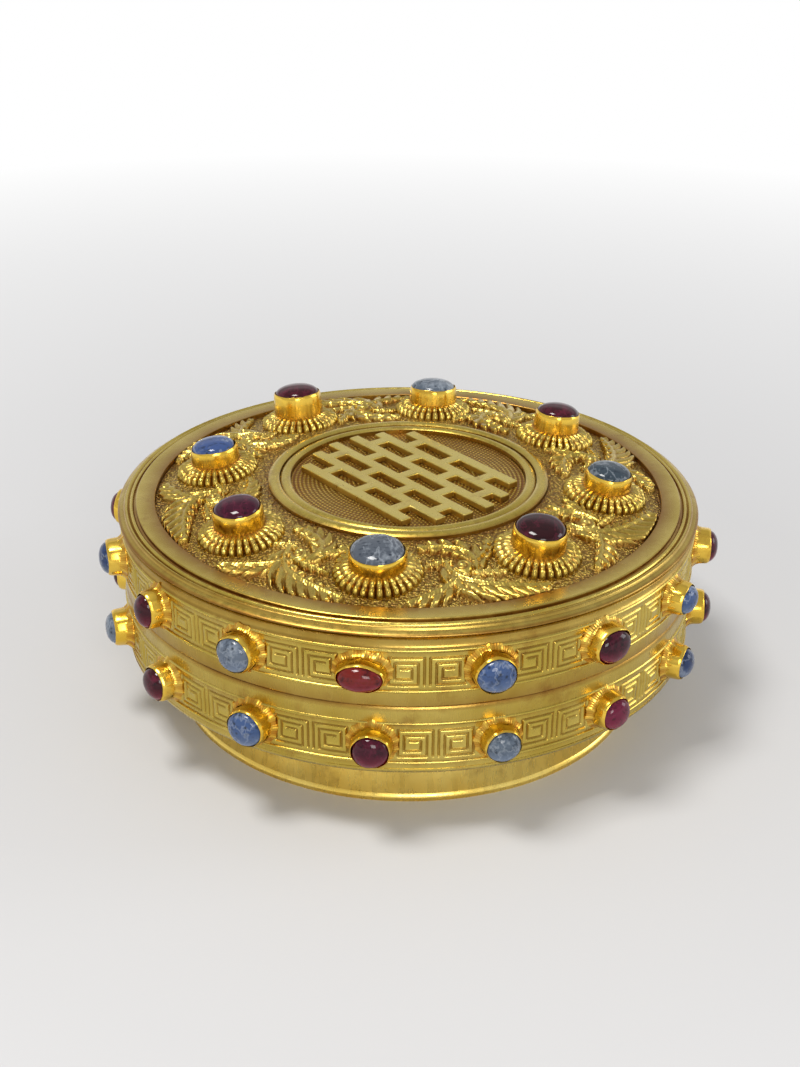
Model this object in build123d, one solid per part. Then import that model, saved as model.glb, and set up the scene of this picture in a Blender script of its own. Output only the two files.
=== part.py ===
from build123d import *
from math import atan2, cos, degrees, pi, radians, sin, sqrt
import os

# A round gilt box with a lift-off lid. Millimetres, +Z up, -Y is the front.
# The origin is the centre of the foot ring, on the surface that the box stands on.

# Drum
WALL_R = 50.4             # outer radius of both walls
WALL_T = 1.4              # thickness of the base wall
BASE_WALL_H = 11.2        # height of the base wall, from the pan's seat to the seam
LID_WALL_H = 11.8         # height of the lid wall, from the seam to its top edge
EDGE_EASE = 0.3           # chamfer on each wall at the seam
LINE_W = 0.55             # width of the thin raised lines that bound the fret
LINE_H = 0.22             # how far a line stands proud of the wall
LINE_FROM_SEAM = 2.9      # a line's distance from the seam, on both walls
BASE_LINE_UP = 1.15       # the base's lower line above the pan's seat
LID_LINE_DOWN = 1.75      # the lid's upper line below the top edge of its wall

# Foot and pan
FOOT_R = 41.0             # outer radius of the foot ring under the pan
FOOT_FLARE = 0.5          # how much wider the ring is just above its lip
FOOT_T = 1.6              # thickness of the ring at its top
FOOT_H = 9.4              # height of the ring
FOOT_LIP_H = 1.4          # height of the small lip at its lower edge
FOOT_LIP_OUT = 0.4        # how far the lip stands out
SHOULDER_H = 3.0          # rise of the pan's curved shoulder to the wall
FLOOR_T = 1.2             # thickness of the pan's floor
SEAT_MARGIN = 0.15        # how far the pan's flat seat reaches inside the collar

# Collar
COLLAR_T = 0.9            # thickness of the collar
COLLAR_RISE = 4.4         # how far it stands above the seam
COLLAR_LEAD = 0.3         # lead-in chamfer at its upper edge
LID_FIT = 0.3             # running gap between the collar and the lid wall
SOLDER_GAP = 0.05         # gap between round faces that solder fills

# Rim of the lid
RIM_H = 2.4               # height of the flat ring above the lid wall
RIM_FLAT_W = 3.25         # width of the flat ring
MOULDING_W = 2.75         # from the flat ring out to the wall's radius
ROLL_OUT = 0.5            # how far the outer roll stands past the wall
COVE_IN = 0.4             # depth of the cove under the roll
COVE_SAG = 0.75           # share of that depth reached half way up the cove
ROLL_TOP = 0.62           # where the roll ends, as a share of the rim's height
ROLL_MID = 0.36           # where it stands out furthest
RIM_BEAD_W = 0.42         # width of a bead, as a share of the moulding above the roll
RIM_BEAD_DROP = 0.15      # how far the outer bead ends below the step
RIM_BEAD_RISE = (0.05, 0.25)  # crowns of the outer and inner bead above the step
MOULDING_STEP = 0.5       # depth of the step beside the flat ring
LEDGE_W = 1.2             # width of the ledge that carries the domed plate
LEDGE_T = 0.8             # thickness of the ledge

# Domed plate and its liner
PLATE_T = 1.5             # thickness of the domed plate
DOME_RISE = 2.5           # rise from its edge to the medallion
DOME_BULGE = 0.25         # how far the rise swells above a straight cone
RECESS_D = 1.0            # depth of the seat for the medallion
LINER_T = 0.6             # thickness of the liner plate

# Rosettes
SETTINGS = 8              # settings on the top
FIRST_SETTING = -8.0      # angle of the front one from -Y, towards +X
ROSETTE_R = 7.4           # reach of the lower petals
ROSETTE_MARGIN = 2.45     # clear ground inside and outside each rosette
PETALS = 24               # petals in each tier
PETAL_DEPTH = 0.5         # depth of the notch between petals
PETAL_EASE = 0.3          # depth of the notch where a tier's slope ends
PETAL_SLOPE_W = 1.0       # width of the sloping band inside each edge
PETAL_SLOPE_H = 0.45      # its height
PETAL_RISE = 0.9          # height of each tier at its edge
PETAL_TUCK = 1.5          # how far the upper tier sits inside the lower one
BOSS_TUCK = 0.9           # how far the boss sits inside the upper tier
ROSETTE_H = 2.2           # height of the flat boss that carries the collet

# Top settings, in order from the front one towards +X
TOP_STONES = (8.5, 8.1, 7.5, 7.6, 8.2, 8.1, 7.5, 7.6)
TOP_COLLET_H = (2.2, 3.1, 2.5, 3.2, 2.8, 4.0, 2.6, 3.0)
TOP_COLLET_T = 0.45       # wall of a top collet
TOP_SEAT_D = 1.2          # depth of the cup that holds the stone
TOP_GIRDLE = 0.9          # straight side of the stone
TOP_DOME = 1.7            # rise of its dome

# Side settings
SIDE_SETTINGS = 16        # settings round each wall
LID_FIRST = -52.9         # angle of the lid's first one in view from -Y, towards +X
BASE_FIRST = -51.2        # the same on the base
LID_STONES = ((4.7, 5.7), (5.8, 5.7), (6.8, 4.2), (6.1, 5.6), (6.6, 5.4), (5.4, 4.6))
BASE_STONES = ((5.6, 5.4), (6.0, 5.8), (5.6, 5.4), (5.4, 5.1), (5.4, 5.2), (5.2, 5.0))
SIDE_STONE = (6.0, 5.4)   # width and height of the stones round the back
SIDE_REACH = 3.0          # how far a side collet stands off the wall
SIDE_COLLET_T = 0.45      # its wall at the rim
SIDE_FLARE = 0.25         # how much wider it is at the wall
SIDE_SEAT_D = 1.4         # depth of its cup
SIDE_GIRDLE = 1.0         # straight side of a side stone
SIDE_DOME = 1.8           # rise of its dome
STONE_FIT = 0.05          # gap between a stone and its collet
CALYX_OUT = 1.2           # how far the leafy cup spreads round the collet
CALYX_H = 1.5             # how far it stands off the wall
CALYX_TOP = 0.3           # its thickness where it ends on the collet
CALYX_LOBES = 10          # leaves in a cup
CALYX_NOTCH = 0.45        # depth of the notch between the leaves at the wall
CALYX_EASE = 0.1          # depth of it at the top

# Leaf sprays
LEAF_H = 1.3              # relief of the leaves above the plate
LEAF_CLEAR = 0.3          # ground left between a leaf and what it runs beside
LEAF_NOTCH = 1.3          # depth of the notch between two lobes of a leaf
OUTER_LEAF = 13.0         # reach of the larger leaf, towards the rim
OUTER_LOBES = 7           # its lobes
INNER_LEAF = 9.5          # reach of the smaller leaf, towards the medallion
INNER_LOBES = 5           # its lobes
LEAF_TAPER = 0.3          # share by which its last lobe falls short of the first
LEAF_SPREAD = 138.0       # angle that a leaf fans out over
BUD_R = 1.9               # radius of the bud where the two leaves meet

# Medallion
FRAME_W = 2.0             # width of the outer ring
BEAD_W = 1.8              # width of the inner ring
RING_GAP = 0.1            # groove between the two
RING_CROWN = 0.35         # how far a ring's rounded top rises above its sides
FRAME_H = 2.0             # height of the outer ring above its seat
BEAD_DROP = 0.15          # how far the inner ring lies below the outer one
GROUND_T = 0.8            # thickness of the punched disc
BAR_W = 2.1               # width of a raised bar
BAR_H = 1.2               # height of a raised bar
BAR_PITCH = 4.8           # spacing of the long bars
LINKS = 9                 # most links between two long bars
BARS = 6                  # long bars
BAR_TURN = -51.0          # direction of the long bars from +X
BAR_MARGIN = 1.4          # ground left between the bars and the inner ring

# Levels worked out from the heights
SEAT_Z = FOOT_H + SHOULDER_H
SEAM_Z = SEAT_Z + BASE_WALL_H
LID_TOP_Z = SEAM_Z + LID_WALL_H
RIM_TOP_Z = LID_TOP_Z + RIM_H
PLATE_EDGE_Z = LID_TOP_Z + PLATE_T
PLATE_HIGH_Z = PLATE_EDGE_Z + DOME_RISE
RECESS_Z = PLATE_HIGH_Z - RECESS_D
GROUND_Z = RECESS_Z + GROUND_T
LINER_TOP_Z = LID_TOP_Z - LEDGE_T
BASE_LINES = (SEAT_Z + BASE_LINE_UP, SEAM_Z - LINE_FROM_SEAM)
LID_LINES = (SEAM_Z + LINE_FROM_SEAM, LID_TOP_Z - LID_LINE_DOWN)

# Radii worked out from the walls inwards
BASE_IN_R = WALL_R - WALL_T
COLLAR_OUT_R = BASE_IN_R - SOLDER_GAP
COLLAR_IN_R = COLLAR_OUT_R - COLLAR_T
LID_IN_R = COLLAR_OUT_R + LID_FIT
COVE_R = WALL_R - COVE_IN
FLAT_OUT_R = WALL_R - MOULDING_W
FLAT_IN_R = FLAT_OUT_R - RIM_FLAT_W
PLATE_R = FLAT_IN_R - SOLDER_GAP
LEDGE_IN_R = FLAT_IN_R - LEDGE_W
LINER_R = LID_IN_R - LID_FIT
FRAME_R = PLATE_R - 2 * (ROSETTE_R + ROSETTE_MARGIN)
RECESS_R = FRAME_R + SOLDER_GAP
BEAD_OUT_R = FRAME_R - FRAME_W - RING_GAP
BEAD_IN_R = BEAD_OUT_R - BEAD_W
GROUND_R = BEAD_IN_R - SOLDER_GAP
SETTING_R = (PLATE_R + RECESS_R) / 2
DOME_TILT = degrees(atan2(DOME_RISE, PLATE_R - RECESS_R))
SETTING_Z = (PLATE_EDGE_Z + PLATE_HIGH_Z) / 2 + DOME_BULGE


def section(start, *steps):
    """Closed outline in radius and height. A step is a point, two points of an arc, or an edge."""
    edges = []
    here = start
    for step in steps:
        if isinstance(step, Edge):
            edges.append(step)
            ends = [step @ 0, step @ 1]
            far = max(ends, key=lambda end: (end - Vector(*here)).length)
            here = (far.X, far.Y)
        elif isinstance(step[0], tuple):
            edges.append(ThreePointArc(here, step[0], step[1]))
            here = step[1]
        else:
            edges.append(Line(here, step))
            here = step
    edges.append(Line(here, start))
    return make_face(edges)


def turned(outline):
    """Solid of revolution about the box's axis."""
    return revolve(Plane.XZ * outline, Axis.Z)


def shoulder(inner_r, outer_r, low_z):
    """Quarter of an ellipse that leaves level at inner_r and ends upright at outer_r and the seat."""
    return EllipticalCenterArc((inner_r, SEAT_Z), outer_r - inner_r, SEAT_Z - low_z, 270, arc_size=90)


def line_steps(height):
    """Steps of one thin raised line round a wall."""
    low = (WALL_R, height - LINE_W / 2)
    high = (WALL_R, height + LINE_W / 2)
    return [low, ((WALL_R + LINE_H, height), high)]


def base_steps():
    """Outside of the base wall, upwards from the pan's seat to the seam."""
    steps = [(WALL_R, SEAT_Z)]
    for height in BASE_LINES:
        steps += line_steps(height)
    steps += [(WALL_R, SEAM_Z - EDGE_EASE), (WALL_R - EDGE_EASE, SEAM_Z)]
    return steps


def lid_steps():
    """Outside of the lid wall, upwards from the seam, with the cove under the roll."""
    steps = [(WALL_R - EDGE_EASE, SEAM_Z), (WALL_R, SEAM_Z + EDGE_EASE)]
    for height in LID_LINES:
        steps += line_steps(height)
    cove_low = LID_LINES[1] + LINE_W / 2
    cove_mid = (WALL_R - COVE_IN * COVE_SAG, (cove_low + LID_TOP_Z) / 2)
    steps += [(cove_mid, (COVE_R, LID_TOP_Z))]
    return steps


def rim_steps():
    """Outside of the rim, upwards from the cove: the roll, two beads and the step."""
    roll_top = (COVE_R, LID_TOP_Z + RIM_H * ROLL_TOP)
    roll_out = (WALL_R + ROLL_OUT, LID_TOP_Z + RIM_H * ROLL_MID)
    step_z = RIM_TOP_Z - MOULDING_STEP
    bead_w = (COVE_R - FLAT_OUT_R) * RIM_BEAD_W
    first_end = (COVE_R - bead_w, step_z - RIM_BEAD_DROP)
    first_mid = (COVE_R - bead_w / 2, step_z + RIM_BEAD_RISE[0])
    second_end = (COVE_R - 2 * bead_w, step_z)
    second_mid = (COVE_R - 3 * bead_w / 2, step_z + RIM_BEAD_RISE[1])
    return [
        (COVE_R, LID_TOP_Z),
        (roll_out, roll_top),
        (first_mid, first_end),
        (second_mid, second_end),
        (FLAT_OUT_R, step_z),
        (FLAT_OUT_R, RIM_TOP_Z),
    ]


def foot_ring():
    """Low ring with a slight flare and a small lip at its lower edge."""
    inner = FOOT_R - FOOT_T
    body = FOOT_R + FOOT_FLARE
    lip = body + FOOT_LIP_OUT
    return turned(section(
        (inner, 0),
        (lip - FOOT_LIP_OUT / 2, 0),
        ((lip, FOOT_LIP_H / 2), (body, FOOT_LIP_H)),
        (FOOT_R, FOOT_H),
        (inner, FOOT_H),
    ))


def base_pan():
    """Flat floor whose shoulder curves out to a level seat for the wall and the collar."""
    seat_in = COLLAR_IN_R - SEAT_MARGIN
    floor_z = FOOT_H + FLOOR_T
    return turned(section(
        (0, FOOT_H),
        (FOOT_R, FOOT_H),
        shoulder(FOOT_R, WALL_R, FOOT_H),
        (seat_in, SEAT_Z),
        shoulder(FOOT_R, seat_in, floor_z),
        (0, floor_z),
    ))


def base_wall():
    """Drum wall of the base."""
    return turned(section((BASE_IN_R, SEAT_Z), *base_steps(), (BASE_IN_R, SEAM_Z)))


def base_collar():
    """Thin ring inside the base wall, which stands above the seam to guide the lid."""
    top = SEAM_Z + COLLAR_RISE
    return turned(section(
        (COLLAR_IN_R, SEAT_Z),
        (COLLAR_OUT_R, SEAT_Z),
        (COLLAR_OUT_R, top - COLLAR_LEAD),
        (COLLAR_OUT_R - COLLAR_LEAD, top),
        (COLLAR_IN_R, top),
    ))


def lid_wall():
    """Drum wall of the lid, a running fit over the collar."""
    return turned(section((LID_IN_R, SEAM_Z), *lid_steps(), (LID_IN_R, LID_TOP_Z)))


def lid_rim():
    """Flat ring with its moulding, a spigot inside the wall and a ledge for the plate."""
    spigot_r = LID_IN_R - SOLDER_GAP
    return turned(section(
        (LEDGE_IN_R, LINER_TOP_Z),
        (spigot_r, LINER_TOP_Z),
        (spigot_r, LID_TOP_Z),
        *rim_steps(),
        (FLAT_IN_R, RIM_TOP_Z),
        (FLAT_IN_R, LID_TOP_Z),
        (LEDGE_IN_R, LID_TOP_Z),
    ))


def dome_mid(lift):
    """Middle point of the dome's arc, raised by lift."""
    return (SETTING_R, SETTING_Z + lift)


def lid_plate():
    """Domed sheet that rests on the rim's ledge, with a round seat for the medallion."""
    under_z = RECESS_Z - PLATE_T
    return turned(section(
        (0, under_z),
        (RECESS_R, under_z),
        (LEDGE_IN_R, LID_TOP_Z),
        (PLATE_R, LID_TOP_Z),
        (PLATE_R, PLATE_EDGE_Z),
        (dome_mid(0), (RECESS_R, PLATE_HIGH_Z)),
        (RECESS_R, RECESS_Z),
        (0, RECESS_Z),
    ))


def dome_block():
    """The space under the plate's upper face, from which whatever stands on it is cut."""
    return turned(section(
        (0, LINER_TOP_Z),
        (PLATE_R, LINER_TOP_Z),
        (PLATE_R, PLATE_EDGE_Z),
        (dome_mid(0), (RECESS_R, PLATE_HIGH_Z)),
        (RECESS_R, RECESS_Z),
        (0, RECESS_Z),
    ))


def lid_liner():
    """Plain round plate under the rim's ledge, which backs the chased top."""
    return turned(section(
        (0, LINER_TOP_Z - LINER_T),
        (LINER_R, LINER_TOP_Z - LINER_T),
        (LINER_R, LINER_TOP_Z),
        (0, LINER_TOP_Z),
    ))


def medallion_ring(inner, outer, top):
    """Ring on the medallion's seat with a gently rounded top."""
    round_z = top - RING_CROWN
    return turned(section(
        (inner, RECESS_Z),
        (outer, RECESS_Z),
        (outer, round_z),
        (((inner + outer) / 2, top), (inner, round_z)),
    ))


def medallion_ground():
    """Disc between the raised bars and the plate."""
    return turned(section((0, RECESS_Z), (GROUND_R, RECESS_Z), (GROUND_R, GROUND_Z), (0, GROUND_Z)))


def medallion_lattice():
    """Parallel bars joined by short links in the manner of laid bricks."""
    reach = BEAD_IN_R - BAR_MARGIN
    shape = Sketch()
    rows = [(k - (BARS - 1) / 2) * BAR_PITCH for k in range(BARS)]
    half_lengths = [sqrt(reach ** 2 - (abs(v) + BAR_W / 2) ** 2) for v in rows]
    for v, half in zip(rows, half_lengths):
        shape += Pos(0, v) * Rectangle(2 * half, BAR_W)
    for k in range(BARS - 1):
        middle = (rows[k] + rows[k + 1]) / 2
        half = min(half_lengths[k], half_lengths[k + 1]) - BAR_W
        shift = BAR_PITCH * ((k + BARS // 2 + 1) % 2)
        for n in range(-(LINKS // 2), LINKS // 2 + 1):
            u = shift + 2 * BAR_PITCH * n
            if abs(u) < half:
                shape += Pos(u, middle) * Rectangle(BAR_W, BAR_PITCH)
    return Pos(0, 0, GROUND_Z) * Rot(0, 0, BAR_TURN) * extrude(shape, BAR_H)


def scalloped(half_w, half_h, notch, lobes, shift=0.0):
    """Flat face edged with round lobes. Tips lie on an ellipse, notches a little inside it."""
    edges = []
    step = 2 * pi / lobes
    for k in range(lobes):
        a = (k - 0.5 + shift) * step
        b = a + step
        start = ((half_w - notch) * cos(a), (half_h - notch) * sin(a))
        tip = (half_w * cos(a + step / 2), half_h * sin(a + step / 2))
        end = ((half_w - notch) * cos(b), (half_h - notch) * sin(b))
        edges.append(ThreePointArc(start, tip, end))
    return make_face(edges)


def cup(half_w, half_h, wall, flare, foot, rim, seat_depth):
    """Box setting: an oval cup from height foot to height rim, open at the rim."""
    wide = Pos(0, 0, foot) * Ellipse(half_w + wall + flare, half_h + wall + flare)
    narrow = Pos(0, 0, rim) * Ellipse(half_w + wall, half_h + wall)
    body = loft([wide.face(), narrow.face()], ruled=True)
    hollow = Pos(0, 0, rim - seat_depth) * extrude(Ellipse(half_w, half_h), 2 * seat_depth)
    return body - hollow


def cabochon(half_w, half_h, floor, girdle, rise):
    """Oval stone with a straight girdle and a domed top, standing on the cup's floor."""
    a = half_w - STONE_FIT
    b = half_h - STONE_FIT
    side = Pos(0, 0, floor) * extrude(Ellipse(a, b), girdle)
    dome = split(scale(Sphere(1.0), by=(a, b, rise)), bisect_by=Plane.XY, keep=Keep.TOP)
    return side + Pos(0, 0, floor + girdle) * dome


def calyx(half_w, half_h, foot):
    """Leafy cup round the foot of a side collet: a lobed collar that narrows to the collet."""
    w = half_w + SIDE_COLLET_T + SIDE_FLARE
    h = half_h + SIDE_COLLET_T + SIDE_FLARE
    low = Pos(0, 0, foot) * scalloped(w + CALYX_OUT, h + CALYX_OUT, CALYX_NOTCH, CALYX_LOBES)
    high = Pos(0, 0, WALL_R + CALYX_H) * scalloped(w + CALYX_TOP, h + CALYX_TOP, CALYX_EASE, CALYX_LOBES)
    return loft([low.face(), high.face()], ruled=True)


def side_plane(angle, height):
    """Plane whose normal points straight out of the wall and whose origin is on the axis."""
    a = radians(angle)
    return Plane(origin=(0, 0, height), x_dir=(cos(a), sin(a), 0), z_dir=(sin(a), -cos(a), 0))


def side_band(first, sizes, height, drum):
    """Collets, calyxes, red stones and blue stones of one wall, in four lists."""
    collets = []
    calyxes = []
    stones = ([], [])
    foot = WALL_R - WALL_T / 2
    rim = WALL_R + SIDE_REACH
    for k in range(SIDE_SETTINGS):
        width, tall = sizes[k] if k < len(sizes) else SIDE_STONE
        w = width / 2
        h = tall / 2
        place = side_plane(first + k * 360 / SIDE_SETTINGS, height).location
        shell = cup(w, h, SIDE_COLLET_T, SIDE_FLARE, foot, rim, SIDE_SEAT_D)
        core = cup(w, h, SIDE_COLLET_T, SIDE_FLARE, foot, rim, 2 * STONE_FIT)
        collets.append(place * shell - drum)
        calyxes.append(place * (calyx(w, h, foot) - core) - drum)
        stone = place * cabochon(w, h, rim - SIDE_SEAT_D, SIDE_GIRDLE, SIDE_DOME)
        stones[k % 2].append(stone)
    return collets, calyxes, stones[0], stones[1]


def setting_place(index):
    """Frame on the dome at one top setting, its Z square to the plate and leaning outwards."""
    angle = FIRST_SETTING + index * 360 / SETTINGS - 90
    return Rot(0, 0, angle) * Pos(SETTING_R, 0, SETTING_Z) * Rot(0, DOME_TILT, 0)


def tier(reach, low, high, shift):
    """One ring of fluted petals, upright at its edge and sloping in above."""
    middle = high - PETAL_SLOPE_H
    body = Pos(0, 0, low) * extrude(scalloped(reach, reach, PETAL_DEPTH, PETALS, shift), middle - low)
    wide = Pos(0, 0, middle) * scalloped(reach, reach, PETAL_DEPTH, PETALS, shift)
    inner = reach - PETAL_SLOPE_W
    narrow = Pos(0, 0, high) * scalloped(inner, inner, PETAL_EASE, PETALS, shift)
    return body + loft([wide.face(), narrow.face()], ruled=True)


def rosette():
    """Double rosette with a flat boss, in the frame of a setting, before it is seated."""
    lower = tier(ROSETTE_R, -PLATE_T / 2, PETAL_RISE, 0.0)
    upper = tier(ROSETTE_R - PETAL_TUCK, 0, 2 * PETAL_RISE, 0.5)
    boss = extrude(Circle(ROSETTE_R - PETAL_TUCK - BOSS_TUCK), ROSETTE_H)
    return lower + upper + boss


def leaf(reach, lobes, turn):
    """Fan-shaped leaf from the bud with a lobed edge, which reaches further at one side."""
    edges = []
    step = radians(LEAF_SPREAD) / lobes
    first = -lobes / 2 * step
    start = (0, 0)
    for k in range(lobes):
        grown = reach * (1 - LEAF_TAPER * k / lobes)
        inner = grown - LEAF_NOTCH
        a = first + k * step
        notch = (inner * cos(a), inner * sin(a))
        if k == 0:
            edges.append(Line(start, notch))
            here = notch
        tip = (grown * cos(a + step / 2), grown * sin(a + step / 2))
        end = (inner * cos(a + step), inner * sin(a + step))
        edges.append(ThreePointArc(here, tip, end))
        here = end
    edges.append(Line(here, start))
    return Rot(0, 0, turn) * make_face(edges)


def leaf_spray(rosettes):
    """Larger and smaller leaf that curl opposite ways from a bud, in the first gap."""
    pattern = leaf(OUTER_LEAF, OUTER_LOBES, 0) + leaf(INNER_LEAF, INNER_LOBES, 180) + Circle(BUD_R)
    gap_angle = FIRST_SETTING + 180 / SETTINGS - 90
    prism = extrude(pattern, 2 * RIM_TOP_Z, dir=(0, 0, 1))
    prism = Rot(0, 0, gap_angle) * Pos(SETTING_R, 0, 0) * prism
    inner = RECESS_R + LEAF_CLEAR
    outer = PLATE_R - LEAF_CLEAR
    relief = turned(section(
        (inner, LID_TOP_Z),
        (outer, LID_TOP_Z),
        (outer, PLATE_EDGE_Z + LEAF_H),
        (dome_mid(LEAF_H), (inner, PLATE_HIGH_Z + LEAF_H)),
    ))
    spray = (prism & relief) - rosettes
    return spray


def write(name, solids):
    """Write one node's solids as a STEP file."""
    shape = solids[0] if len(solids) == 1 else Compound(children=[s.solid() for s in solids])
    export_step(shape, f"parts/{name}.step")


os.makedirs("parts", exist_ok=True)

write("foot_ring", [foot_ring()])
write("base_pan", [base_pan()])
write("base_wall", [base_wall()])
write("base_collar", [base_collar()])
write("lid_wall", [lid_wall()])
write("lid_rim", [lid_rim()])
write("lid_plate", [lid_plate()])
write("lid_liner", [lid_liner()])

# Side settings, each cut back to the wall that carries it
base_drum = turned(section((0, SEAT_Z), *base_steps(), (0, SEAM_Z)))
lid_drum = turned(section((0, SEAM_Z), *lid_steps(), *rim_steps()[1:], (0, RIM_TOP_Z)))
for body, first, sizes, lines, drum in (
    ("base", BASE_FIRST, BASE_STONES, BASE_LINES, base_drum),
    ("lid", LID_FIRST, LID_STONES, LID_LINES, lid_drum),
):
    collets, calyxes, reds, blues = side_band(first, sizes, sum(lines) / 2, drum)
    write(f"{body}_collets", collets)
    write(f"{body}_calyxes", calyxes)
    write(f"{body}_red_stones", reds)
    write(f"{body}_blue_stones", blues)

# Rosettes, seated on the dome, and the settings that stand on them
plate_block = dome_block()
seated = setting_place(0) * rosette() - plate_block
for k in range(SETTINGS):
    name = k + 1
    turn = Rot(0, 0, k * 360 / SETTINGS)
    write(f"rosette_{name}", [turn * seated])
    half = TOP_STONES[k] / 2
    rim = ROSETTE_H + TOP_COLLET_H[k]
    place = setting_place(k)
    collet = place * cup(half, half, TOP_COLLET_T, 0.0, ROSETTE_H, rim, TOP_SEAT_D)
    stone = place * cabochon(half, half, rim - TOP_SEAT_D, TOP_GIRDLE, TOP_DOME)
    write(f"top_collet_{name}", [collet])
    write(f"top_stone_{name}", [stone])

# Leaf sprays, kept clear of the two rosettes beside them
keep_out = extrude(Circle(ROSETTE_R + LEAF_CLEAR), 4 * ROSETTE_H, both=True)
spray = leaf_spray(setting_place(0) * keep_out + setting_place(1) * keep_out) - plate_block
for k in range(SETTINGS):
    write(f"leaf_spray_{k + 1}", [Rot(0, 0, k * 360 / SETTINGS) * spray])

# Medallion
write("medallion_frame", [medallion_ring(FRAME_R - FRAME_W, FRAME_R, RECESS_Z + FRAME_H)])
write("medallion_bead", [medallion_ring(BEAD_IN_R, BEAD_OUT_R, RECESS_Z + FRAME_H - BEAD_DROP)])
write("medallion_ground", [medallion_ground()])
write("medallion_lattice", [medallion_lattice()])
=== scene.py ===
"""A round gilt box with cabochons, dressed over its fixed CAD frame.

Lengths inside the shape functions are millimetres; meshes are written in metres.
Angles run from the front of the box (-Y) towards +X unless a docstring says otherwise.
"""
import logging
from dataclasses import dataclass, field, replace
from enum import Enum
from typing import Optional, Sequence, Union

import bpy
import numpy as np
from mathutils import Matrix, Vector


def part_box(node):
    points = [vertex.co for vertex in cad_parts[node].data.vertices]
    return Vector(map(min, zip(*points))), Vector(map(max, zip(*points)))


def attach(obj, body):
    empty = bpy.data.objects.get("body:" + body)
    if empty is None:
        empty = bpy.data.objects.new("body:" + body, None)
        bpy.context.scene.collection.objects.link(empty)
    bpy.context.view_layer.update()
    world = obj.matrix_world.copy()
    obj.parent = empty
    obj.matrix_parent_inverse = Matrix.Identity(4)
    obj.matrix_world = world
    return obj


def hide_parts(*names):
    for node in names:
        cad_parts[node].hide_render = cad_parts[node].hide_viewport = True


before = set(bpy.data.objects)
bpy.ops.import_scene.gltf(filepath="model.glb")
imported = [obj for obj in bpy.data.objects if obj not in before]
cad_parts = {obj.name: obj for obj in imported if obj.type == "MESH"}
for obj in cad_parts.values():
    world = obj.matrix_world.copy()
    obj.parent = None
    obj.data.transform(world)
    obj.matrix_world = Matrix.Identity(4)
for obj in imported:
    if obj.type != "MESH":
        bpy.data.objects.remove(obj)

LOG = logging.getLogger("gilt_box")
MM = 0.001
TAU = 2 * np.pi
FULL_TURN_DEG = 360.0
CORNERS = 4
Array = np.ndarray
Pair = tuple[float, float]
Triple = tuple[float, float, float]
Colour = Triple
Socket = bpy.types.NodeSocket
Value = Union[Socket, float, Colour]


class Body(Enum):
    """The rigid bodies that a piece can ride on."""

    BASE = "base"
    LINER = "lid_liner"
    LID = "lid"


class Slot(Enum):
    """Material slots of the record."""

    CHASED = "chased_gilt"
    PLAIN = "plain_gilt"
    BRIGHT = "bright_gilt"
    RED = "red_stone"
    BLUE = "blue_stone"


class Grain(Enum):
    """How the surface of a gilt piece is worked."""

    SMOOTH = "smooth"
    CHASED = "chased"
    GRANULAR = "granular"
    PUNCHED = "punched"


def corner(node: str, high: bool) -> Vector:
    """One corner of a CAD node's box, in millimetres."""
    return Vector(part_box(node)[1 if high else 0]) / MM


@dataclass(frozen=True)
class Levels:
    """Heights and radii of the box in millimetres: some read from the frame, the rest given."""

    foot_h: float
    seat_z: float
    seam_z: float
    lid_top_z: float
    rim_top_z: float
    collar_top_z: float
    liner_low_z: float
    ledge_low_z: float
    plate_r: float
    frame_r: float
    wall_r: float = 50.4
    base_in_r: float = 49.0
    lid_in_r: float = 49.25
    foot_r: float = 41.0
    plate_t: float = 1.5
    dome_rise: float = 2.5
    dome_bulge: float = 0.25
    recess_d: float = 1.0
    settings: int = 8
    first_setting: float = -8.0
    solder_gap: float = 0.05

    @classmethod
    def read(cls) -> "Levels":
        """Levels worked out from the boxes of the CAD nodes.

        Returns:
            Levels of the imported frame, in millimetres.
        """
        return cls(
            foot_h=corner("foot_ring", True).z,
            seat_z=corner("base_wall", False).z,
            seam_z=corner("base_wall", True).z,
            lid_top_z=corner("lid_wall", True).z,
            rim_top_z=corner("lid_rim", True).z,
            collar_top_z=corner("base_collar", True).z,
            liner_low_z=corner("lid_liner", False).z,
            ledge_low_z=corner("lid_rim", False).z,
            plate_r=corner("lid_plate", True).x,
            frame_r=corner("medallion_frame", True).x,
        )

    @property
    def edge_z(self) -> float:
        """Height of the domed plate at its edge."""
        return self.lid_top_z + self.plate_t

    @property
    def recess_z(self) -> float:
        """Height of the medallion's seat."""
        return self.edge_z + self.dome_rise - self.recess_d

    @property
    def setting_r(self) -> float:
        """Radius of the circle that the top settings stand on."""
        return (self.plate_r + self.frame_r + self.solder_gap) / 2

    @property
    def tilt(self) -> float:
        """Outward lean of the top settings, in radians."""
        return float(np.arctan2(self.dome_rise, self.plate_r - self.frame_r))

    def dome_z(self, radius: Array) -> Array:
        """Height of the dome at a radius: a straight rise plus a parabola that swells it at mid way."""
        share = np.clip((self.plate_r - radius) / (self.plate_r - self.frame_r), 0.0, 1.0)
        return self.edge_z + self.dome_rise * share + 4 * self.dome_bulge * share * (1 - share)


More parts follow.
